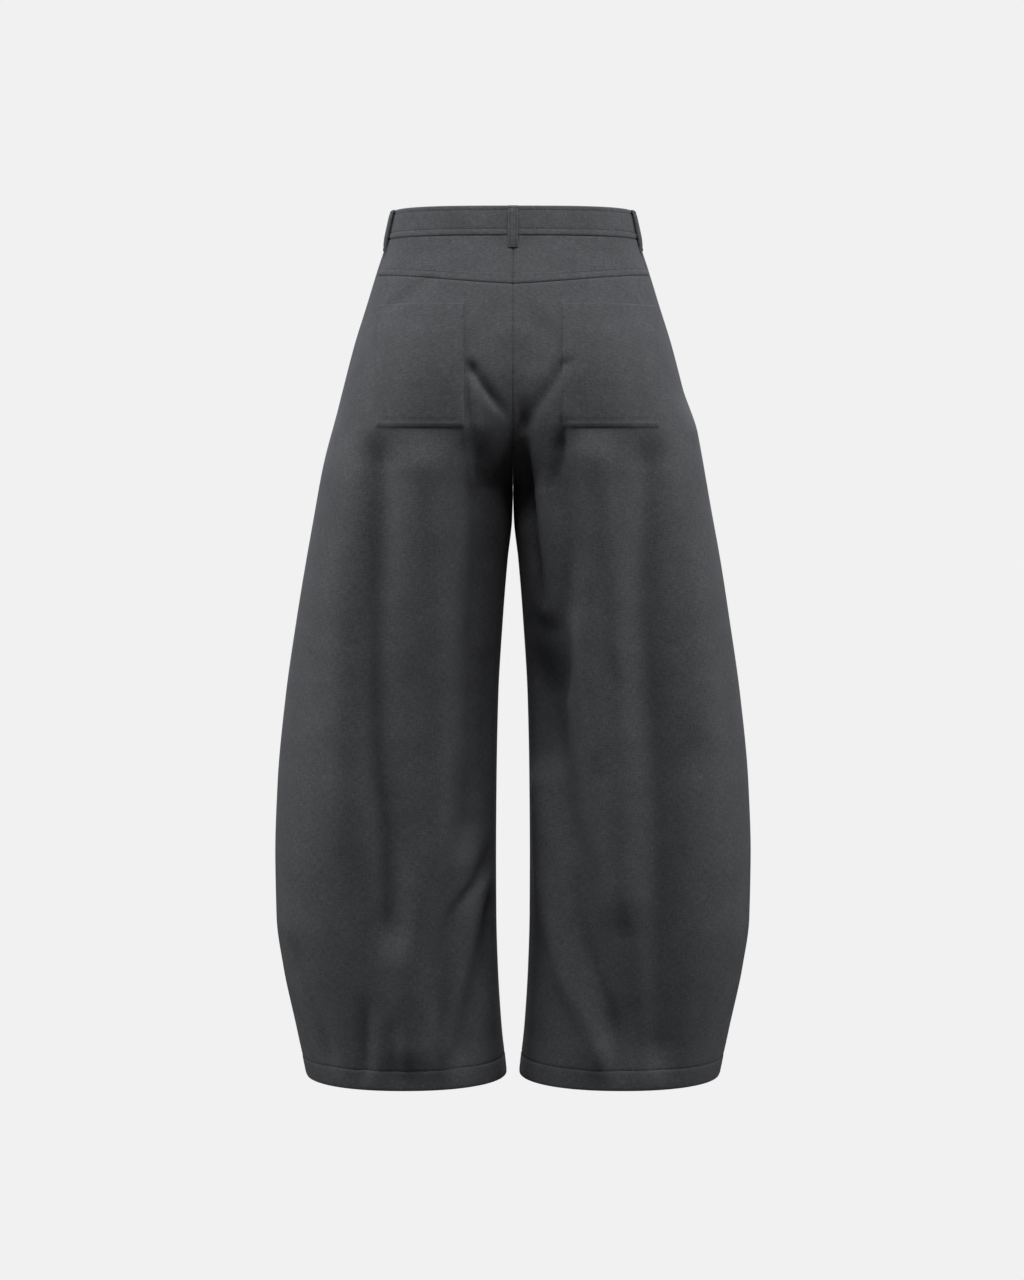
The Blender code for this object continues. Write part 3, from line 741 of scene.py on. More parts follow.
@dataclass(frozen=True)
class WovenTape:
    """Polyester zip tape: a plain narrow weave, drawn at 0.8 mm so that its ribs show."""

    dark: str = "#1a1b1d"
    light: str = "#2b2c2f"
    rib: float = 0.8

    def material(self) -> bpy.types.Material:
        """The tape's material."""
        material, shader = new_material("polyester_zip_tape_woven")
        tree = material.node_tree
        grain = add_node(tree, "ShaderNodeUVMap", {"uv_map": "grain"})
        ribs = add_node(
            tree,
            "ShaderNodeTexWave",
            {"bands_direction": "Y"},
            {"Scale": 1.0 / (self.rib * MM) / 20.0 * math.pi, "Distortion": 0.6},
            {"Vector": grain.outputs["UV"]},
        )
        ramp = add_node(tree, "ShaderNodeValToRGB", links={"Fac": ribs.outputs["Fac"]})
        ramp.color_ramp.elements[0].color = linear(self.dark)
        ramp.color_ramp.elements[1].color = linear(self.light)
        tree.links.new(ramp.outputs["Color"], shader.inputs["Base Color"])
        bump = add_node(
            tree,
            "ShaderNodeBump",
            values={"Strength": 0.5, "Distance": 0.2 * MM},
            links={"Height": ribs.outputs["Fac"]},
        )
        tree.links.new(bump.outputs["Normal"], shader.inputs["Normal"])
        shader.inputs["Roughness"].default_value = 0.82
        return material


@dataclass
class Finishes:
    """Every material of the trousers, made once."""

    suiting: bpy.types.Material = field(default_factory=lambda: MelangeSuiting().material())
    thread: bpy.types.Material = field(default_factory=lambda: SpunThread().material())
    tape: bpy.types.Material = field(default_factory=lambda: WovenTape().material())
    resin: bpy.types.Material = field(
        default_factory=lambda: MouldedPlastic(
            "polyester_resin_button_cast", "#151517", "#25262a", 3.0, 0.36
        ).material()
    )
    coil: bpy.types.Material = field(
        default_factory=lambda: MouldedPlastic(
            "nylon_zip_coil_moulded", "#18191b", "#232427", 1.5, 0.42
        ).material()
    )
    zinc: bpy.types.Material = field(
        default_factory=lambda: MouldedPlastic(
            "zinc_zip_slider_lacquered", "#2a2b2e", "#37383c", 2.0, 0.34, 0.7
        ).material()
    )


def finish_mesh(
    name: str,
    vertices: np.ndarray,
    faces: list[tuple[int, ...]],
    material: bpy.types.Material,
    uv: np.ndarray | None = None,
    sharp_angle: float = 50.0,
) -> bpy.types.Object:
    """Makes an object at the origin from points in millimetres.

    Args:
        name: The piece's name.
        vertices: Its points.
        faces: Its faces.
        material: Its material.
        uv: The cloth's own coordinates of each point, in metres.
        sharp_angle: Edges that turn more than this many degrees stay sharp.

    Returns:
        The new object, with its faces pointing outwards.
    """
    data = bpy.data.meshes.new(name)
    data.from_pydata((np.asarray(vertices) * MM).tolist(), [], faces)
    if uv is not None:
        layer = data.uv_layers.new(name="grain")
        corners = np.empty(len(data.loops), int)
        data.loops.foreach_get("vertex_index", corners)
        layer.data.foreach_set("uv", np.asarray(uv, np.float32)[corners].ravel())
    mesh = bmesh.new()
    mesh.from_mesh(data)
    bmesh.ops.recalc_face_normals(mesh, faces=mesh.faces)
    mesh.to_mesh(data)
    mesh.free()
    data.materials.append(material)
    data.shade_smooth()
    data.set_sharp_from_angle(angle=math.radians(sharp_angle))
    made = bpy.data.objects.new(name, data)
    bpy.context.scene.collection.objects.link(made)
    return made


def cloth_shell(
    name: str,
    outside: np.ndarray,
    inside: np.ndarray,
    uv: np.ndarray,
    material: bpy.types.Material,
) -> bpy.types.Object:
    """A thin closed piece of cloth between two grids of points.

    Args:
        name: The piece's name.
        outside: Rows of points of its outside.
        inside: Rows of points of its inside.
        uv: The cloth's own coordinates of each grid point, in metres.
        material: Its material.

    Returns:
        The new object.
    """
    rows, columns = outside.shape[:2]
    index = np.arange(rows * columns).reshape(rows, columns)
    quads = np.stack([index[:-1, :-1], index[:-1, 1:], index[1:, 1:], index[1:, :-1]], axis=-1)
    quads = quads.reshape(-1, 4)
    count = rows * columns
    rim = np.concatenate([index[0], index[1:, -1], index[-1, -2::-1], index[-2:0:-1, 0]])
    following = np.roll(rim, -1)
    border = np.stack([rim, following, following + count, rim + count], axis=-1)
    faces = np.concatenate([quads, quads[:, ::-1] + count, border[:, ::-1]])
    vertices = np.concatenate([outside.reshape(-1, 3), inside.reshape(-1, 3)])
    flat = uv.reshape(-1, 2)
    return finish_mesh(
        name, vertices, faces.tolist(), material, np.concatenate([flat, flat])
    )


def attach(piece: bpy.types.Object, slot: Slot, *nodes: str) -> bpy.types.Object:
    """Fixes a finished piece to the part.

    Args:
        piece: The piece.
        slot: Not used.
        nodes: The CAD nodes that it stands for.

    Returns:
        The same piece.
    """
    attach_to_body(piece, "root")
    if nodes:
        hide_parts(*nodes)
    log.info("%s: %d faces", piece.name, len(piece.data.polygons))
    return piece


def mirror_free_shares(nominal: float, step: float) -> np.ndarray:
    """Shares of the way across a panel, close together at both seams.

    Args:
        nominal: The panel's usual width.
        step: The distance between columns in its middle.

    Returns:
        Rising shares from 0 to 1.
    """
    edge = np.array([0.0, 0.5, 1.1, 1.9, 3.0, 4.5, 6.5, 9.0])
    count = max(int(round((nominal - 2 * edge[-1]) / step)), 2)
    middle = np.linspace(edge[-1], nominal - edge[-1], count + 1)[1:-1]
    return np.concatenate([edge, middle, (nominal - edge)[::-1]]) / nominal


def upright_at_centre(
    side: Side, height: np.ndarray, distance: np.ndarray, outward: np.ndarray
) -> np.ndarray:
    """Keeps cloth at the centre seam from leaning away from it when it is moved in or out.

    Args:
        side: The wearer's side.
        height: The points' heights.
        distance: Their distances from the panel's inner edge.
        outward: The directions out of the cloth.

    Returns:
        The directions, without their lean over the centre where that edge is the centre seam.
    """
    lean = np.minimum(int(side) * outward[..., 0], 0.0)
    hold = (1.0 - smooth_steps(distance / 10.0)) * smooth_steps((height + 302.0) / 8.0)
    held = outward.copy()
    held[..., 0] -= int(side) * lean * hold
    return unit(held)


def kept_on_side(
    side: Side, points: np.ndarray, height: np.ndarray, distance: np.ndarray
) -> np.ndarray:
    """Points kept on their own side of the centre, with the centre seam's edge right on it."""
    held = points.copy()
    across = np.maximum(int(side) * held[..., 0], SEAM_CLOSE)
    seam = (distance < 1e-6) & (height > -295.0)
    held[..., 0] = int(side) * np.where(seam, SEAM_CLOSE, across)
    return held


@dataclass
class SeamRelief:
    """How pressed and sewn cloth sinks and swells beside a seam."""

    roll: float = 0.9
    roll_width: float = 1.6
    allowance: float = 11.0
    swell: float = 0.22

    def rise(self, distance: np.ndarray) -> np.ndarray:
        """How far the cloth is moved outwards at each distance from the seam."""
        pressed = smooth_steps(distance / 2.5) - smooth_steps((distance - self.allowance) / 3.0)
        return self.swell * pressed - self.roll * bump_at(distance, self.roll_width)


@dataclass
class Stitch:
    """One lockstitch, modelled once and copied along every line of stitching."""

    length: float = 2.3
    pitch: float = 2.9
    thick: float = 0.55
    shape: np.ndarray = field(init=False)
    faces: list[tuple[int, ...]] = field(init=False)

    def __post_init__(self) -> None:
        """Models the stitch: a low capsule along X, round on top, with pinched ends."""
        for thing in list(bpy.context.selected_objects):
            thing.select_set(False)
        bpy.ops.mesh.primitive_uv_sphere_add(segments=6, ring_count=4, radius=0.5)
        model = bpy.context.object
        bpy.ops.object.mode_set(mode="EDIT")
        bpy.ops.mesh.select_all(action="SELECT")
        bpy.ops.transform.rotate(value=math.pi / 2.0, orient_axis="Y", center_override=(0, 0, 0))
        bpy.ops.transform.resize(value=(self.length, self.thick, self.thick * 0.8))
        bpy.ops.object.mode_set(mode="OBJECT")
        self.shape = np.array([tuple(v.co) for v in model.data.vertices])
        self.faces = [tuple(face.vertices) for face in model.data.polygons]
        bpy.data.objects.remove(model, do_unlink=True)

    def sew(
        self,
        name: str,
        lines: list[tuple[np.ndarray, np.ndarray]],
        material: bpy.types.Material,
        pitch: float | None = None,
    ) -> bpy.types.Object:
        """Sews stitches along lines of points.

        Args:
            name: The piece's name.
            lines: Pairs of points along a line and the directions out of the cloth there.
            material: The thread's material.
            pitch: The distance between stitches, if it isn't the usual one.

        Returns:
            One piece with every stitch.
        """
        step = pitch or self.pitch
        vertices, faces = [], []
        for points, outward in lines:
            lengths = np.concatenate(
                [[0.0], np.cumsum(np.linalg.norm(np.diff(points, axis=0), axis=1))]
            )
            count = max(int(lengths[-1] / step), 1)
            for place in (np.arange(count) + 0.5) * lengths[-1] / count:
                middle, out, ahead, behind = (
                    np.array([np.interp(at, lengths, values[:, k]) for k in range(3)])
                    for at, values in (
                        (place, points),
                        (place, outward),
                        (place + 0.5, points),
                        (place - 0.5, points),
                    )
                )
                out = unit(out)
                along = unit(ahead - behind)
                across = unit(np.cross(out, along))
                along = np.cross(across, out)
                base = len(vertices) * len(self.shape)
                vertices.append(middle + self.shape @ np.stack([along, across, out]))
                faces += [tuple(base + corner for corner in face) for face in self.faces]
        return finish_mesh(name, np.concatenate(vertices), faces, material, sharp_angle=80.0)


@dataclass
class LegPanel:
    """A front or a back leg: a cut piece from the waistband or the yoke seam down to the hem."""

    form: WornForm
    finishes: Finishes
    stitch: Stitch
    side: Side
    face: Face
    step: float = 4.2
    crotch_step: float = 2.5
    sweep_start: float = -205.0
    sweep_end: float = -345.0
    sweep_share: float = 0.8
    fade: float = 104.0
    hem_stitch: float = -964.0
    hem_inner: float = 1.5
    fly_wide: float = 34.0
    fly_rise: float = 0.7
    relief: SeamRelief = field(default_factory=SeamRelief)

    @property
    def name(self) -> str:
        """The panel's node name."""
        return f"{self.face.name.lower()}_{self.side.word}"

    def levels(self) -> np.ndarray:
        """The heights of the rows at the side seam."""
        top = (BAND_SEAM if self.face is Face.FRONT else YOKE.side) - SEAM_CLOSE
        near = [0.0, 0.5, 1.1, 1.9, 3.0, 4.5, 6.5, 9.0]
        start = [top - drop for drop in near]
        hips = np.arange(start[-1] - self.step, self.sweep_start, -self.step)
        crotch = np.arange(hips[-1] - self.crotch_step, self.sweep_end, -self.crotch_step)
        legs = np.arange(crotch[-1] - self.step, HEM_FOLD + 6.0, -self.step)
        hem = [-961.5, -963.0, -963.6, -964.0, -964.4, -965.0, -966.2, -968.5, -972.0, -976.0]
        hem += [-980.0, -984.0, -986.2, -987.3, HEM]
        return np.concatenate([start, hips, crotch, legs, hem])

    def ends(self, height: np.ndarray) -> tuple[np.ndarray, np.ndarray]:
        """Where the panel's side seam edge and its inner edge lie on the level cuts."""
        inner = self.form.end(self.side, self.face, height)
        return self.form.side_seam(height) - self.face * SEAM_CLOSE, inner + self.face * SEAM_CLOSE

    def around(self, height: np.ndarray, share: np.ndarray) -> np.ndarray:
        """Where a share of the way from side seam to inner edge lies.

        The inner edge sweeps quickly under the crotch, so there only the last columns follow it.
        """
        start, end = self.ends(height)
        above_start, above_end = self.ends(np.array(self.sweep_start))
        below_start, below_end = self.ends(np.array(self.sweep_end))
        below = smooth_steps((self.sweep_start - height) / (self.sweep_start - self.sweep_end))
        steady = (above_end - above_start) * (1.0 - below) + (below_end - below_start) * below
        sweeping = (height < self.sweep_start) & (height > self.sweep_end)
        span = np.where(sweeping, steady, end - start)
        last = start + span * self.sweep_share
        tail = last + (end - last) * (share - self.sweep_share) / (1.0 - self.sweep_share)
        return np.where(share <= self.sweep_share, start + span * share, tail)

    def grid(self) -> tuple[np.ndarray, np.ndarray]:
        """Height and place around of every grid point; the back's upper rows follow the yoke."""
        levels = self.levels()[:, None]
        shares = mirror_free_shares(300.0, 3.6)[None, :]
        height = np.broadcast_to(levels, (levels.shape[0], shares.shape[1])).copy()
        around = self.around(height, shares)
        if self.face is Face.BACK:
            slope = np.clip(1.0 - (YOKE.side - levels) / self.fade, 0.0, 1.0)
            for _ in range(4):
                across = self.form.point(self.side, height, around)[..., 0]
                height = levels + slope * (YOKE.height(across) - YOKE.side)
                around = self.around(height, shares)
        return height, around

    def relief_at(self, height: np.ndarray, around: np.ndarray) -> np.ndarray:
        """How far seams, hem and fly move the cloth outwards."""
        start, end = self.ends(height)
        rise = self.relief.rise(np.abs(around - start))
        closing = smooth_steps((-296.0 - height) / 6.0) + smooth_steps((height + 280.0) / 12.0)
        rise = rise + self.relief.rise(np.abs(around - end)) * np.clip(closing, 0.35, 1.0)
        rise = rise - self.relief.roll * bump_at(height - height[:1], self.relief.roll_width)
        hem = bump_at(height - self.hem_stitch, 0.9) * 0.45 + bump_at(height - HEM, 1.2) * 0.5
        swell = 0.3 * smooth_steps((self.hem_stitch - height) / 4.0)
        ripple = np.sin(around / 9.0 + 1.3 * np.sin(around / 31.0)) * 0.16
        rise = rise + swell - hem + ripple * bump_at(height - self.hem_stitch, 9.0)
        if self.face is Face.FRONT:
            over = smooth_steps((height - FLY_END - 6.0) / 12.0)
            near = smooth_steps(1.0 - np.abs(around - end) / 2.0)
            rise = rise + over * near * (self.fly_rise if self.side is Side.LEFT else -0.3)
        return rise

    def build(self) -> bpy.types.Object:
        """Makes the panel with its hem and sews the hem."""
        height, around = self.grid()
        outward = self.form.outward(self.side, height, around)
        outside = self.form.point(self.side, height, around)
        from_centre = np.abs(around - around[:, -1:])
        outward = upright_at_centre(self.side, height, from_centre, outward)
        outside = outside + outward * self.relief_at(height, around)[..., None]
        outside = kept_on_side(self.side, outside, height, from_centre)
        thick = CLOTH + self.hem_inner * smooth_steps((HEM_FOLD - height) / 0.6)
        inside = kept_on_side(self.side, outside - outward * thick[..., None], height, from_centre)
        uv = np.stack([around - self.form.side_seam(height), height], axis=-1) * MM
        piece = cloth_shell(f"suiting_{self.name}", outside, inside, uv, self.finishes.suiting)
        attach(piece, Slot.SUITING, self.name)
        hem = self.sew_hem()
        if self.face is Face.FRONT and self.side is Side.LEFT:
            self.sew_fly()
        return piece

    def line(
        self, heights: np.ndarray, arounds: np.ndarray, rise: float
    ) -> tuple[np.ndarray, np.ndarray]:
        """Points just above the cloth along a line, and the directions out of it."""
        points = self.form.lay(self.side, heights, arounds, np.full(len(heights), rise))
        return points, self.form.outward(self.side, heights, arounds)

    def sew_hem(self) -> bpy.types.Object:
        """The line of stitching that holds the turned-up hem."""
        start, end = (float(place) for place in self.ends(np.array(self.hem_stitch)))
        arounds = np.linspace(start, end, 400)
        line = self.line(np.full(400, self.hem_stitch), arounds, -0.1)
        name = f"hem_stitching_{self.name}"
        return attach(self.stitch.sew(name, [line], self.finishes.thread), Slot.SUITING)

    def sew_fly(self) -> bpy.types.Object:
        """The curved fly stitching, which holds the fly's facing to the left front."""
        low = FLY_END + self.fly_wide * 0.9
        straight = np.linspace(BAND_SEAM - 3.0, low, 120)
        turn = np.linspace(0.0, math.pi / 2.0, 60)[1:]
        heights = np.concatenate([straight, low - (low - FLY_END) * np.sin(turn)])
        across = np.concatenate(
            [np.full(120, self.fly_wide), 1.5 + (self.fly_wide - 1.5) * np.cos(turn)]
        )
        arounds = self.form.around_at(self.side, Face.FRONT, heights, across)
        line = self.line(heights, arounds, 0.12)
        made = self.stitch.sew("fly_stitching", [line], self.finishes.thread)
        return attach(made, Slot.SUITING)


@dataclass
class YokePiece:
    """Half of the back yoke, between waistband and back."""

    form: WornForm
    finishes: Finishes
    stitch: Stitch
    side: Side
    rows: int = 22
    topstitch: float = 7.2
    relief: SeamRelief = field(default_factory=SeamRelief)

    def build(self) -> bpy.types.Object:
        """Makes the yoke and its topstitching above the yoke seam."""
        nominal = YOKE.side - BAND_SEAM
        share = mirror_free_shares(abs(nominal), 2.2)[:, None]
        top, bottom = BAND_SEAM - SEAM_CLOSE, YOKE.side + SEAM_CLOSE
        levels = top + (bottom - top) * share
        columns = mirror_free_shares(190.0, 3.2)[None, :]
        height = np.broadcast_to(levels, (len(levels), columns.shape[1])).copy()
        for _ in range(4):
            start = self.form.side_seam(height) - SEAM_CLOSE
            end = self.form.end(self.side, Face.BACK, height) + SEAM_CLOSE
            around = start + (end - start) * columns
            across = self.form.point(self.side, height, around)[..., 0]
            height = levels + share * (YOKE.height(across) - YOKE.side)
        outward = self.form.outward(self.side, height, around)
        seam = height[-1:]
        rise = self.relief.rise(np.abs(around - around[:, :1]))
        rise = rise + self.relief.rise(np.abs(around - around[:, -1:]))
        rise = rise + 0.35 * smooth_steps(1.0 - (height - seam - self.topstitch) / 2.0)
        rise = rise - 0.5 * bump_at(height - seam - self.topstitch, 0.9)
        rise = rise - 0.5 * bump_at(height - seam, 0.7) - 0.6 * bump_at(height - height[:1], 1.2)
        from_centre = np.abs(around - around[:, -1:])
        outward = upright_at_centre(self.side, height, from_centre, outward)
        outside = self.form.point(self.side, height, around) + outward * rise[..., None]
        outside = kept_on_side(self.side, outside, height, from_centre)
        inside = kept_on_side(self.side, outside - outward * CLOTH, height, from_centre)
        uv = np.stack([around - self.form.side_seam(height), height * 0.98 + 300.0], axis=-1) * MM
        name = f"yoke_{self.side.word}"
        piece = cloth_shell(f"suiting_{name}", outside, inside, uv, self.finishes.suiting)
        attach(piece, Slot.SUITING, name)
        arounds = around[-1]
        heights = height[-1] + self.topstitch
        points = self.form.lay(self.side, heights, arounds, np.full(len(heights), 0.05))
        line = (points, self.form.outward(self.side, heights, arounds))
        sewn = attach(
            self.stitch.sew(f"yoke_stitching_{self.side.word}", [line], self.finishes.thread),
            Slot.SUITING,
        )
        return piece


@dataclass
class Waistband:
    """The waistband: one folded strip, its right end lying under its left end at the front."""

    form: WornForm
    finishes: Finishes
    stitch: Stitch
    top: float = 17.0
    proud: float = 0.8
    thick: float = 2.4
    underlap: float = 36.0
    ramp: float = 14.0
    lay_gap: float = 0.45
    lower_stitch: float = 6.7
    upper_stitch: float = 5.0
    columns: int = 330

    def ring(self, height: float) -> tuple[np.ndarray, np.ndarray, np.ndarray]:
        """The closed waist line at a height, from the centre front by the wearer's right."""
        x, y = self.form.plain_line(height)
        x[0] = x[-1] = 0.0
        ring_x = np.concatenate([-x[::-1], x[1:]])
        ring_y = np.concatenate([y[::-1], y[1:]])
        steps = np.hypot(np.diff(ring_x), np.diff(ring_y))
        return ring_x, ring_y, np.concatenate([[0.0], np.cumsum(steps)])

    def points(self, height: float, stops: np.ndarray) -> np.ndarray:
        """Points of the waist line at lengths from the centre front."""
        x, y, lengths = self.ring(height)
        at = stops % lengths[-1]
        flat = np.full(len(stops), height)
        return np.stack([np.interp(at, lengths, x), np.interp(at, lengths, y), flat], axis=-1)

    def stops(self, height: float) -> np.ndarray:
        """The columns' lengths from the centre front at a height."""
        total = self.ring(height)[2][-1]
        ramp = np.linspace(0.0, self.ramp, 12)
        rest = np.linspace(self.ramp, total - SEAM_CLOSE, self.columns)[1:]
        under = np.linspace(-self.underlap, 0.0, 14)[:-1]
        return np.concatenate([under, ramp, rest])

    def frame(self, height: float, stops: np.ndarray) -> tuple[np.ndarray, np.ndarray]:
        """Points of the band's outside and the directions out of it.

        Args:
            height: The height on the band.
            stops: Lengths from the centre front.

        Returns:
            The points and the outward directions.
        """
        lower, upper = max(height - 1.5, -17.0), min(height + 1.5, self.top)
        rising = self.points(upper, stops) - self.points(lower, stops)
        rounding = self.points(height, stops + 1.5) - self.points(height, stops - 1.5)
        outward = unit(np.cross(rising, rounding))
        under = 1.0 - smooth_steps(stops / self.ramp)
        rise = self.proud - under * (self.thick + self.lay_gap)
        return self.points(height, stops) + outward * rise[:, None], outward

    def build(self) -> bpy.types.Object:
        """Makes the band with its rounded top, and sews both lines of topstitching."""
        low = BAND_SEAM + SEAM_CLOSE
        seam, edge = BAND_SEAM + self.lower_stitch, self.top - self.upper_stitch
        profile = [(low, 0.55), (low + 0.4, 0.22), (low + 1.0, 0.0), (low + 2.5, -0.12)]
        profile += [(seam - 1.6, -0.12), (seam - 0.6, 0.12), (seam, 0.34), (seam + 0.6, 0.16)]
        profile += [(seam + 1.6, 0.0), (-4.0, -0.05), (1.0, -0.08), (6.0, -0.05), (edge - 1.5, 0.0)]
        profile += [(edge - 0.6, 0.12), (edge, 0.3), (edge + 0.6, 0.12), (edge + 1.6, -0.05)]
        profile += [(15.4, 0.0), (16.2, 0.2), (16.7, 0.5), (17.0, 0.95)]
        outside, inside, uv = [], [], []
        for height, depth in profile:
            stops = self.stops(height)
            points, outward = self.frame(height, stops)
            outside.append(points - outward * depth)
            inner = self.thick - max(depth, 0.0) if height > 15.0 else self.thick
            inside.append(points - outward * inner)
            uv.append(np.stack([stops, np.full(len(stops), height + 600.0)], axis=-1) * MM)
        piece = cloth_shell(
            "suiting_waistband",
            np.array(outside),
            np.array(inside),
            np.array(uv),
            self.finishes.suiting,
        )
        attach(piece, Slot.SUITING, "waistband")
        lines = []
        for height, depth in ((seam, 0.2), (edge, 0.18)):
            stops = np.linspace(3.0, self.ring(height)[2][-1] - 2.5, 1200)
            points, outward = self.frame(height, stops)
            lines.append((points - outward * depth, outward))
        ends = self.ring(0.0)[2][-1] - 3.0
        rises = [self.frame(h, np.array([ends])) for h in np.linspace(seam, edge, 20)]
        lines.append((np.concatenate([r[0] for r in rises]), np.concatenate([r[1] for r in rises])))
        sewn = attach(
            self.stitch.sew("waistband_stitching", lines, self.finishes.thread), Slot.SUITING
        )
        total = self.ring(0.0)[2][-1] + self.underlap
        return piece


@dataclass
class BackPocket:
    """A patch pocket, double stitched round three sides and hemmed along its mouth."""

    form: WornForm
    finishes: Finishes
    stitch: Stitch
    side: Side
    outer: float
    top: float = -91.5
    foot: float = -226.0
    inner: float = 54.0
    mouth: float = 15.0
    gap: float = 0.9
    edge_stitch: float = 1.8
    second_stitch: float = 6.2

    def grid(self) -> tuple[np.ndarray, np.ndarray, np.ndarray, np.ndarray]:
        """Heights, places around, and distances from the sides and along the height."""
        deep = self.top - self.foot
        down = mirror_free_shares(deep, 3.4)
        levels = (self.top - deep * down)[:, None]
        shares = mirror_free_shares(100.0, 3.0)[None, :]
        height = np.broadcast_to(levels, (len(down), shares.shape[1])).copy()
        start = self.form.around_at(self.side, Face.BACK, levels, np.full(levels.shape, self.inner))
        end = self.form.around_at(self.side, Face.BACK, levels, np.full(levels.shape, self.outer))
        around = start + (end - start) * shares
        from_side = np.minimum(np.abs(around - start), np.abs(around - end))
        return height, around, from_side, deep * down[:, None] + 0.0 * around

    def build(self) -> bpy.types.Object:
        """Makes the pocket and its stitching."""
        height, around, from_side, down = self.grid()
        from_foot = self.top - self.foot - down
        near = np.minimum(from_side, from_foot)
        outward = self.form.outward(self.side, height, around)
        rise = self.gap + CLOTH - 0.9 * bump_at(near, 1.1) + 0.25 * smooth_steps(near / 12.0)
        for place, deep in ((self.edge_stitch, 0.35), (self.second_stitch, 0.55)):
            rise = rise - deep * bump_at(near - place, 0.9)
        rise = rise - 0.4 * bump_at(down - self.mouth, 0.9) - 0.5 * bump_at(down, 0.8)
        rise = rise + 0.25 * smooth_steps((self.mouth - down) / 3.0)
        base = self.form.point(self.side, height, around)
        outside = base + outward * rise[..., None]
        inside = base + outward * (0.35 * np.minimum(rise, self.gap))[..., None]
        uv = np.stack([around - self.form.side_seam(height) + 40.0, height - 1300.0], axis=-1) * MM
        name = f"back_pocket_{self.side.word}"
        piece = cloth_shell(f"suiting_{name}", outside, inside, uv, self.finishes.suiting)
        attach(piece, Slot.SUITING, name)
        sewn = self.sew()
        return piece

    def sew(self) -> bpy.types.Object:
        """Two lines of stitching round the pocket and one under its mouth."""
        lines = []
        for inset in (self.edge_stitch, self.second_stitch):
            down = np.linspace(self.top - 1.0, self.foot + inset, 150)
            inner = self.form.around_at(self.side, Face.BACK, down, np.full(150, self.inner))
            outer = self.form.around_at(self.side, Face.BACK, down, np.full(150, self.outer))
            turn = 1.0 if outer[-1] > inner[-1] else -1.0
            inner, outer = inner + turn * inset, outer - turn * inset
            across = np.linspace(inner[-1], outer[-1], 120)[1:-1]
            heights = np.concatenate([down, np.full(118, down[-1]), down[::-1]])
            lines.append((heights, np.concatenate([inner, across, outer[::-1]])))
        level = np.full(120, self.top - self.mouth)
        first = self.form.around_at(self.side, Face.BACK, level[:1], np.array([self.inner]))[0]
        last = self.form.around_at(self.side, Face.BACK, level[:1], np.array([self.outer]))[0]
        lines.append((level, np.linspace(first, last, 120)))
        made = []
        for heights, arounds in lines:
            points = self.form.lay(self.side, heights, arounds, np.full(len(heights), 1.85))
            made.append((points, self.form.outward(self.side, heights, arounds)))
        name = f"pocket_stitching_{self.side.word}"
        return attach(self.stitch.sew(name, made, self.finishes.thread), Slot.SUITING)


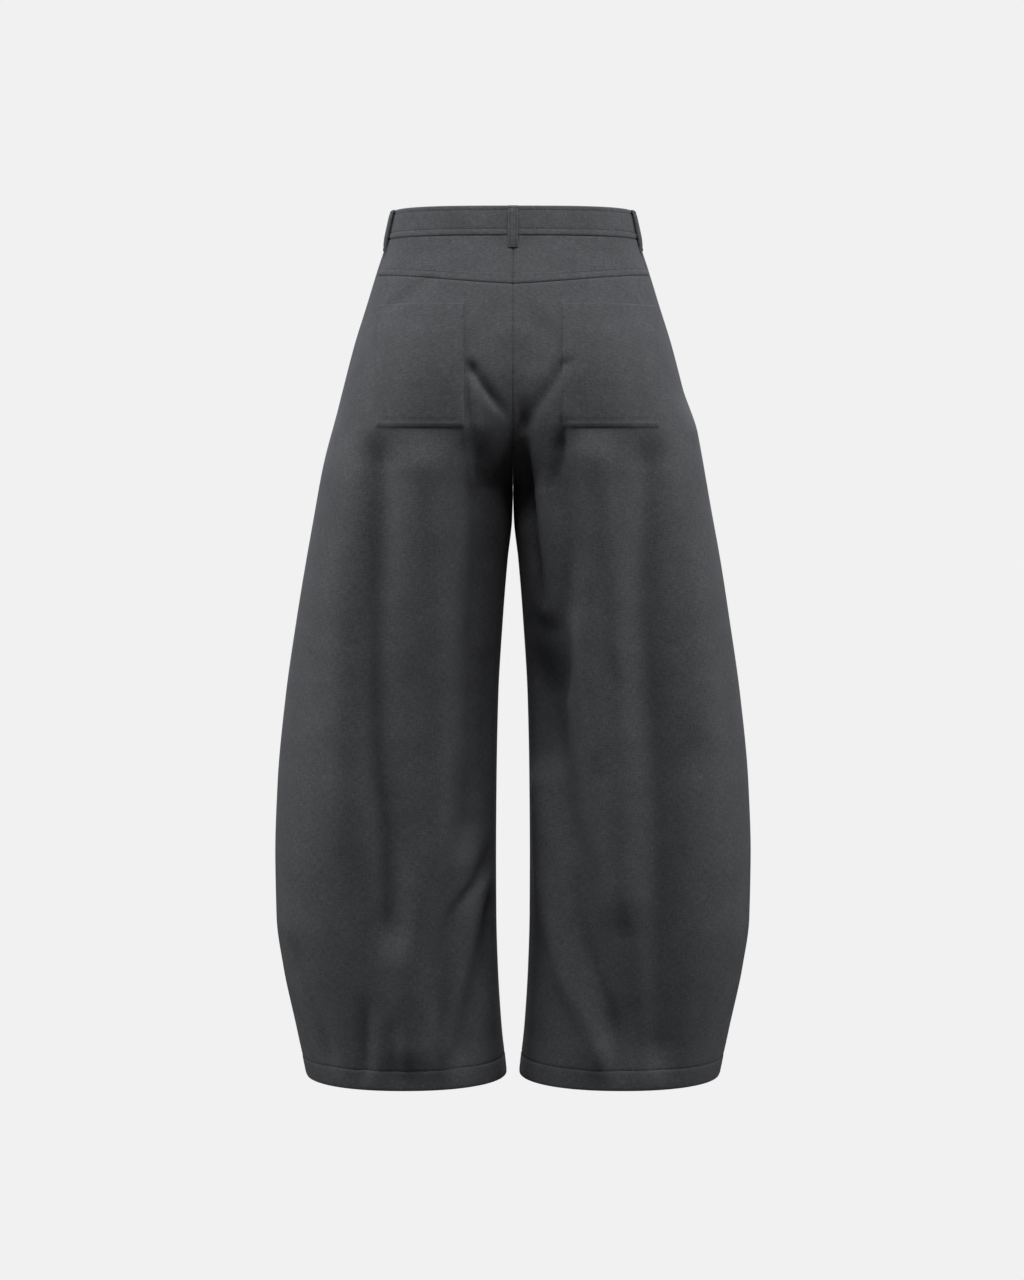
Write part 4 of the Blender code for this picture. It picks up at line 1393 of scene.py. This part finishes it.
@dataclass
class BeltLoop:
    """A belt loop: a folded strip with two lines of stitching and a bar tack at each end."""

    form: WornForm
    finishes: Finishes
    stitch: Stitch
    name: str
    side: Side
    face: Face
    across: float
    shift: float = 0.0
    wide: float = 11.5
    thick: float = 1.8
    stitch_in: float = 2.4
    shape: tuple[tuple[float, float], ...] = (
        (16.6, 1.2),
        (14.0, 2.2),
        (8.0, 3.0),
        (-4.0, 3.2),
        (-14.0, 3.0),
        (-22.0, 1.9),
        (-26.5, 0.6),
        (-29.5, 0.45),
    )

    def place(self, height: np.ndarray) -> np.ndarray:
        """Where the loop's middle lies along each level cut."""
        if self.shift:
            return np.full(np.shape(height), -self.shift)
        return self.form.around_at(self.side, self.face, height, np.full(np.shape(height), self.across))

    def strip(self, height: np.ndarray) -> tuple[np.ndarray, np.ndarray, np.ndarray, np.ndarray]:
        """The loop's middle line, the directions out of it and across it, and its stand."""
        around = self.place(height)
        middle = self.form.point(self.side, height, around)
        outward = self.form.outward(self.side, height, around)
        if not self.across and not self.shift:
            middle[:, 0] = 0.0
            outward[:, 0] = 0.0
            outward = unit(outward)
        rising = np.gradient(middle, axis=0)
        across = unit(np.cross(rising, outward))
        heights = [point[0] for point in self.shape]
        stand = smooth_between(height, heights, [point[1] for point in self.shape])
        return middle, outward, across, stand

    def build(self) -> bpy.types.Object:
        """Makes the loop, its stitching and its tacks."""
        height = np.concatenate([[16.6, 16.2, 15.6], np.linspace(14.5, -27.0, 34), [-28.2, -29.0, -29.5]])
        middle, outward, across, stand = self.strip(height)
        half = self.wide / 2.0
        places = np.array([-1, -0.97, -0.9, -0.8, -0.7, -0.58, -0.46, -0.25, 0, 0.25, 0.46, 0.58, 0.7, 0.8, 0.9, 0.97, 1])
        inner = half - self.stitch_in
        edge = -0.55 * bump_at(1.0 - np.abs(places), 0.05) - 0.2 * bump_at(1.0 - np.abs(places), 0.14)
        groove = -0.3 * bump_at(np.abs(places) - inner / half, 0.09)
        rise = (self.thick + edge + groove)[None, :] + 0.0 * height[:, None]
        tip = np.minimum(height[0] - height, height - height[-1])
        rise = rise - 0.5 * bump_at(tip, 0.7)[:, None]
        side_step = across[:, None, :] * (places * half)[None, :, None]
        base = middle[:, None, :] + outward[:, None, :] * stand[:, None, None] + side_step
        outside = base + outward[:, None, :] * rise[..., None]
        inside = base
        uv = np.stack(
            [
                np.broadcast_to(places * half, rise.shape),
                np.broadcast_to(height[:, None] + 900.0, rise.shape),
            ],
            axis=-1,
        )
        piece = cloth_shell(f"suiting_{self.name}", outside, inside, uv * MM, self.finishes.suiting)
        attach(piece, Slot.SUITING, self.name)
        sewn = self.sew()
        return piece

    def sew(self) -> bpy.types.Object:
        """Two lines down the loop, and a bar of short stitches across each end."""
        height = np.linspace(15.0, -28.5, 120)
        middle, outward, across, stand = self.strip(height)
        top = (stand + self.thick - 0.12)[:, None] * outward
        lines = []
        for turn in (-1.0, 1.0):
            offset = turn * (self.wide / 2.0 - self.stitch_in)
            lines.append((middle + top + across * offset, outward))
        for level in (13.6, -27.0):
            tack = np.linspace(level + 0.9, level - 0.9, 8)
            line, out, over, stands = self.strip(tack)
            lifted = line + out * (stands + self.thick - 0.05)[:, None]
            for step in np.linspace(-0.42, 0.42, 13):
                lines.append((lifted + over * self.wide * step, out))
        made = self.stitch.sew(f"{self.name}_stitching", lines, self.finishes.thread)
        return attach(made, Slot.SUITING)


@dataclass
class WaistButton:
    """The four-hole button of the waistband, with its thread and the buttonhole under it."""

    finishes: Finishes
    stitch: Stitch
    band: Waistband
    across: float = 17.0
    thick: float = 3.2
    from_end: float = 15.0
    hole: float = 1.9
    hole_apart: float = 3.3
    height: float = 0.75
    slit: float = 19.0

    def pose(self) -> tuple[np.ndarray, np.ndarray, np.ndarray, np.ndarray]:
        """The button's middle on the band, and its outward, level and rising directions."""
        stop = np.array([self.band.ring(self.height)[2][-1] - self.from_end])
        points, outward = self.band.frame(self.height, stop)
        ahead = self.band.frame(self.height, stop + 1.0)[0] - points
        level = unit(ahead - np.sum(ahead * outward) * outward)[0]
        return points[0], outward[0], level, np.cross(outward[0], level)

    def disc(self) -> bpy.types.Object:
        """The button lying flat at the origin: a turned disc with a dished face and four holes."""
        for thing in list(bpy.context.selected_objects):
            thing.select_set(False)
        bpy.ops.mesh.primitive_cylinder_add(
            vertices=56, radius=self.across / 2.0, depth=self.thick, end_fill_type="NGON"
        )
        disc = bpy.context.object
        disc.name = disc.data.name = "resin_waist_button"
        bpy.ops.object.mode_set(mode="EDIT")
        bpy.ops.mesh.select_mode(type="FACE")
        bpy.ops.mesh.select_all(action="DESELECT")
        bpy.ops.object.mode_set(mode="OBJECT")
        for face in disc.data.polygons:
            face.select = face.normal.z > 0.9
        bpy.ops.object.mode_set(mode="EDIT")
        bpy.ops.mesh.inset(thickness=1.5)
        bpy.ops.mesh.inset(thickness=0.9, depth=-0.8)
        bpy.ops.mesh.inset(thickness=0.7, depth=-0.1)
        bpy.ops.object.mode_set(mode="OBJECT")
        for x in (-0.5, 0.5):
            for y in (-0.5, 0.5):
                for thing in list(bpy.context.selected_objects):
                    thing.select_set(False)
                bpy.ops.mesh.primitive_cylinder_add(
                    vertices=20,
                    radius=self.hole / 2.0,
                    depth=self.thick * 2.0,
                    location=(x * self.hole_apart, y * self.hole_apart, 0.0),
                )
                cutter = bpy.context.object
                cut = disc.modifiers.new("hole", "BOOLEAN")
                cut.object = cutter
                cut.operation = "DIFFERENCE"
                cut.solver = "EXACT"
                bpy.context.view_layer.objects.active = disc
                bpy.ops.object.modifier_apply(modifier=cut.name)
                bpy.data.objects.remove(cutter, do_unlink=True)
        soft = disc.modifiers.new("turned edges", "BEVEL")
        soft.width = 0.45
        soft.segments = 3
        soft.limit_method = "ANGLE"
        soft.angle_limit = math.radians(35.0)
        bpy.context.view_layer.objects.active = disc
        bpy.ops.object.modifier_apply(modifier=soft.name)
        return disc

    def build(self) -> bpy.types.Object:
        """Makes the button on the band, its sewing thread and the buttonhole."""
        point, outward, level, rising = self.pose()
        disc = self.disc()
        turned = np.stack([level, rising, outward])
        middle = point + outward * (0.3 + self.thick / 2.0)
        places = np.array([tuple(v.co) for v in disc.data.vertices]) @ turned + middle
        disc.data.vertices.foreach_set("co", (places * MM).ravel())
        disc.data.update()
        disc.data.materials.clear()
        disc.data.materials.append(self.finishes.resin)
        disc.data.shade_smooth()
        disc.data.set_sharp_from_angle(angle=math.radians(40.0))
        attach(disc, Slot.BUTTON, "waist_button")
        top = middle + outward * (self.thick / 2.0 - 0.75)
        lines = []
        half = self.hole_apart / 2.0
        for turn in (-1.0, 1.0):
            for strand in (-0.35, 0.0, 0.35):
                start = top + rising * (turn * half + strand) - level * half
                lines.append((np.array([start, start + level * 2.0 * half]), np.array([outward] * 2)))
        thread = self.stitch.sew("button_thread", lines, self.finishes.thread, pitch=3.6)
        attach(thread, Slot.SUITING)
        hole = []
        for turn in (-1.0, 1.0):
            for along in np.arange(-self.slit / 2.0, self.slit / 2.0, 0.75):
                base = point + level * (along + 2.5) + rising * turn * 1.4 + outward * 0.12
                hole.append((np.array([base - rising * 0.5, base + rising * 0.5]), np.array([outward] * 2)))
        edge = self.stitch.sew("buttonhole_stitching", hole, self.finishes.thread)
        attach(edge, Slot.SUITING)
        return disc


@dataclass
class FlyZip:
    """The closed zip behind the fly: a woven tape, its nylon coil and its slider."""

    form: WornForm
    finishes: Finishes
    wide: float = 28.0
    thick: float = 1.2
    sunk: float = 2.5
    top: float = -18.5
    tooth_pitch: float = 1.6
    tooth_wide: float = 4.6
    tooth_high: float = 0.9

    def at(self, height: float, across: float, deep: float) -> np.ndarray:
        """A point behind the centre front."""
        side = Side.LEFT if across >= 0.0 else Side.RIGHT
        spot = np.array([height])
        around = self.form.around_at(side, Face.FRONT, spot, np.array([abs(across)]))
        return self.form.lay(side, spot, around, np.array([-deep]))[0]

    def build(self) -> bpy.types.Object:
        """Makes the tape, the coil and the slider."""
        heights = np.linspace(self.top, FLY_END, 60)
        places = np.array([-14, -13.4, -10, -6, -2.6, -0.6, 0.6, 2.6, 6, 10, 13.4, 14], float)
        outside = np.array([[self.at(h, a, self.sunk) for a in places] for h in heights])
        inside = np.array([[self.at(h, a, self.sunk + self.thick) for a in places] for h in heights])
        uv = np.stack(np.meshgrid(places, heights), axis=-1) * MM
        tape = cloth_shell("zip_tape", outside, inside, uv, self.finishes.tape)
        attach(tape, Slot.ZIP_TAPE, "fly_zip")
        coil, slider = self.coil(), self.slider()
        return tape

    def coil(self) -> bpy.types.Object:
        """The interlocked coil as rows of small rounded bars on the tape's inner side."""
        for thing in list(bpy.context.selected_objects):
            thing.select_set(False)
        bpy.ops.mesh.primitive_cylinder_add(
            vertices=8, radius=0.5, depth=1.0, rotation=(0.0, math.pi / 2.0, 0.0)
        )
        bar = bpy.context.object
        bpy.ops.object.transform_apply(location=False, rotation=True, scale=False)
        bpy.ops.object.mode_set(mode="EDIT")
        bpy.ops.mesh.select_all(action="SELECT")
        bpy.ops.transform.resize(value=(self.tooth_wide, self.tooth_high, self.tooth_pitch * 0.72))
        bpy.ops.mesh.bevel(offset=0.15, segments=1)
        bpy.ops.object.mode_set(mode="OBJECT")
        shape = np.array([tuple(v.co) for v in bar.data.vertices])
        outline = [tuple(face.vertices) for face in bar.data.polygons]
        bpy.data.objects.remove(bar, do_unlink=True)
        vertices, faces = [], []
        for height in np.arange(self.top - 3.0, FLY_END + 4.0, -self.tooth_pitch):
            middle = self.at(height, 0.0, self.sunk + self.thick + self.tooth_high / 2.0 - 0.05)
            middle[0] = 0.0
            base = len(vertices) * len(shape)
            vertices.append(shape + middle)
            faces += [tuple(base + corner for corner in face) for face in outline]
        made = finish_mesh("zip_coil", np.concatenate(vertices), faces, self.finishes.coil)
        return attach(made, Slot.ZIP_TAPE)

    def slider(self) -> bpy.types.Object:
        """The slider at the top of the coil with its flat pull tab hanging down."""
        for thing in list(bpy.context.selected_objects):
            thing.select_set(False)
        middle = self.at(self.top - 8.0, 0.0, self.sunk + self.thick + 1.5)
        bpy.ops.mesh.primitive_cube_add(size=1.0, location=(0.0, float(middle[1]), float(middle[2])))
        body = bpy.context.object
        body.name = body.data.name = "zip_slider"
        bpy.ops.object.transform_apply(location=True, rotation=False, scale=False)
        bpy.ops.object.mode_set(mode="EDIT")
        bpy.ops.mesh.select_all(action="SELECT")
        bpy.ops.transform.resize(value=(8.0, 1.6, 9.0), center_override=tuple(map(float, middle)))
        bpy.ops.mesh.bevel(offset=0.5, segments=3)
        bpy.ops.mesh.select_all(action="DESELECT")
        start = len(body.data.vertices)
        tab = (0.0, float(middle[1]) + 1.6, float(middle[2]) - 13.0)
        bpy.ops.mesh.primitive_cube_add(size=1.0, location=tab)
        bpy.ops.transform.resize(value=(4.2, 0.9, 22.0), center_override=tab)
        bpy.ops.mesh.bevel(offset=0.3, segments=2)
        bpy.ops.object.mode_set(mode="OBJECT")
        log.info("slider grew from %d points to %d", start, len(body.data.vertices))
        data = body.data
        places = np.array([tuple(v.co) for v in data.vertices]) * MM
        data.vertices.foreach_set("co", places.ravel())
        data.update()
        data.materials.append(self.finishes.zinc)
        data.shade_smooth()
        data.set_sharp_from_angle(angle=math.radians(40.0))
        return attach(body, Slot.ZIP_TAPE)


@dataclass
class Studio:
    """The plain pale studio and the camera at the photograph's angle."""

    pale: str = "#f1f1f1"
    floor_height: float = -1.2
    lens: float = 62.93
    place: tuple[float, float, float] = (0.00115, 2.6, -0.23205)
    aim: tuple[float, float, float] = (0.00115, 0.0, -0.47362)
    ambient: float = 0.05

    def world(self) -> None:
        """A pale surround that is seen as it is and lights the cloth only a little."""
        world = bpy.data.worlds.new("studio_surround")
        bpy.context.scene.world = world
        world.use_nodes = True
        tree = world.node_tree
        tree.nodes.clear()
        path = add_node(tree, "ShaderNodeLightPath")
        light = add_node(
            tree, "ShaderNodeBackground", values={"Color": (1.0, 1.0, 1.0, 1.0), "Strength": self.ambient}
        )
        seen = add_node(
            tree, "ShaderNodeBackground", values={"Color": linear(self.pale), "Strength": 1.0}
        )
        mixed = add_node(
            tree,
            "ShaderNodeMixShader",
            links={
                0: path.outputs["Is Camera Ray"],
                1: light.outputs["Background"],
                2: seen.outputs["Background"],
            },
        )
        add_node(tree, "ShaderNodeOutputWorld", links={"Surface": mixed.outputs["Shader"]})

    def floor(self) -> None:
        """A plain pale floor, evenly lit, well below the hems."""
        for thing in list(bpy.context.selected_objects):
            thing.select_set(False)
        bpy.ops.mesh.primitive_circle_add(
            vertices=96, radius=30.0, fill_type="NGON", location=(0.0, 0.0, self.floor_height)
        )
        floor = bpy.context.object
        floor.name = "studio_floor"
        material = bpy.data.materials.new("studio_floor_pale")
        material.use_nodes = True
        tree = material.node_tree
        tree.nodes.clear()
        glow = add_node(
            tree, "ShaderNodeEmission", values={"Color": linear(self.pale), "Strength": 1.0}
        )
        add_node(tree, "ShaderNodeOutputMaterial", links={"Surface": glow.outputs["Emission"]})
        floor.data.materials.append(material)
        floor.visible_diffuse = False
        floor.visible_glossy = False

    def light(
        self, name: str, place: tuple[float, float, float], size: float, watts: float
    ) -> None:
        """A large soft light aimed at the middle of the trousers."""
        data = bpy.data.lights.new(name, "AREA")
        data.shape = "SQUARE"
        data.size = size
        data.energy = watts
        lamp = bpy.data.objects.new(name, data)
        lamp.location = place
        aim = Vector((0.0, 0.0, -0.45)) - Vector(place)
        lamp.rotation_euler = aim.to_track_quat("-Z", "Y").to_euler()
        bpy.context.scene.collection.objects.link(lamp)

    def camera(self) -> None:
        """The camera, a little above the waist and looking slightly down."""
        data = bpy.data.cameras.new("camera")
        data.lens = self.lens
        data.sensor_width = 36.0
        data.sensor_fit = "AUTO"
        camera = bpy.data.objects.new("camera", data)
        camera.location = self.place
        aim = Vector(self.aim) - Vector(self.place)
        camera.rotation_euler = aim.to_track_quat("-Z", "Y").to_euler()
        bpy.context.scene.collection.objects.link(camera)
        bpy.context.scene.camera = camera

    def build(self) -> None:
        """Sets up the surround, floor, lights and camera."""
        bpy.context.scene.view_settings.view_transform = "Standard"
        self.world()
        self.floor()
        self.light("softbox_left", (2.6, 0.45, 0.1), 1.6, 38.0)
        self.light("softbox_right", (-2.6, 0.45, 0.1), 1.6, 36.0)
        self.light("softbox_top_back", (0.0, 1.3, 2.2), 1.6, 66.0)
        self.light("softbox_top_front", (0.0, -1.3, 2.2), 1.6, 66.0)
        self.camera()


def main() -> None:
    """Builds the trousers piece by piece."""
    logging.basicConfig(level=logging.INFO, format="%(message)s")
    Studio().build()
    form = WornForm()
    finishes = Finishes()
    stitch = Stitch()
    for side in Side:
        for face in Face:
            LegPanel(form, finishes, stitch, side, face).build()
        YokePiece(form, finishes, stitch, side).build()
    BackPocket(form, finishes, stitch, Side.LEFT, outer=151.0).build()
    BackPocket(form, finishes, stitch, Side.RIGHT, outer=160.0).build()
    band = Waistband(form, finishes, stitch)
    band.build()
    BeltLoop(form, finishes, stitch, "belt_loop_back", Side.LEFT, Face.BACK, 0.0).build()
    for side in Side:
        BeltLoop(
            form, finishes, stitch, f"belt_loop_side_{side.word}", side, Face.BACK, 0.0, 45.0
        ).build()
        BeltLoop(
            form, finishes, stitch, f"belt_loop_front_{side.word}", side, Face.FRONT, 72.0
        ).build()
    WaistButton(finishes, stitch, band).build()
    FlyZip(form, finishes).build()


if __name__ == "__main__":
    main()
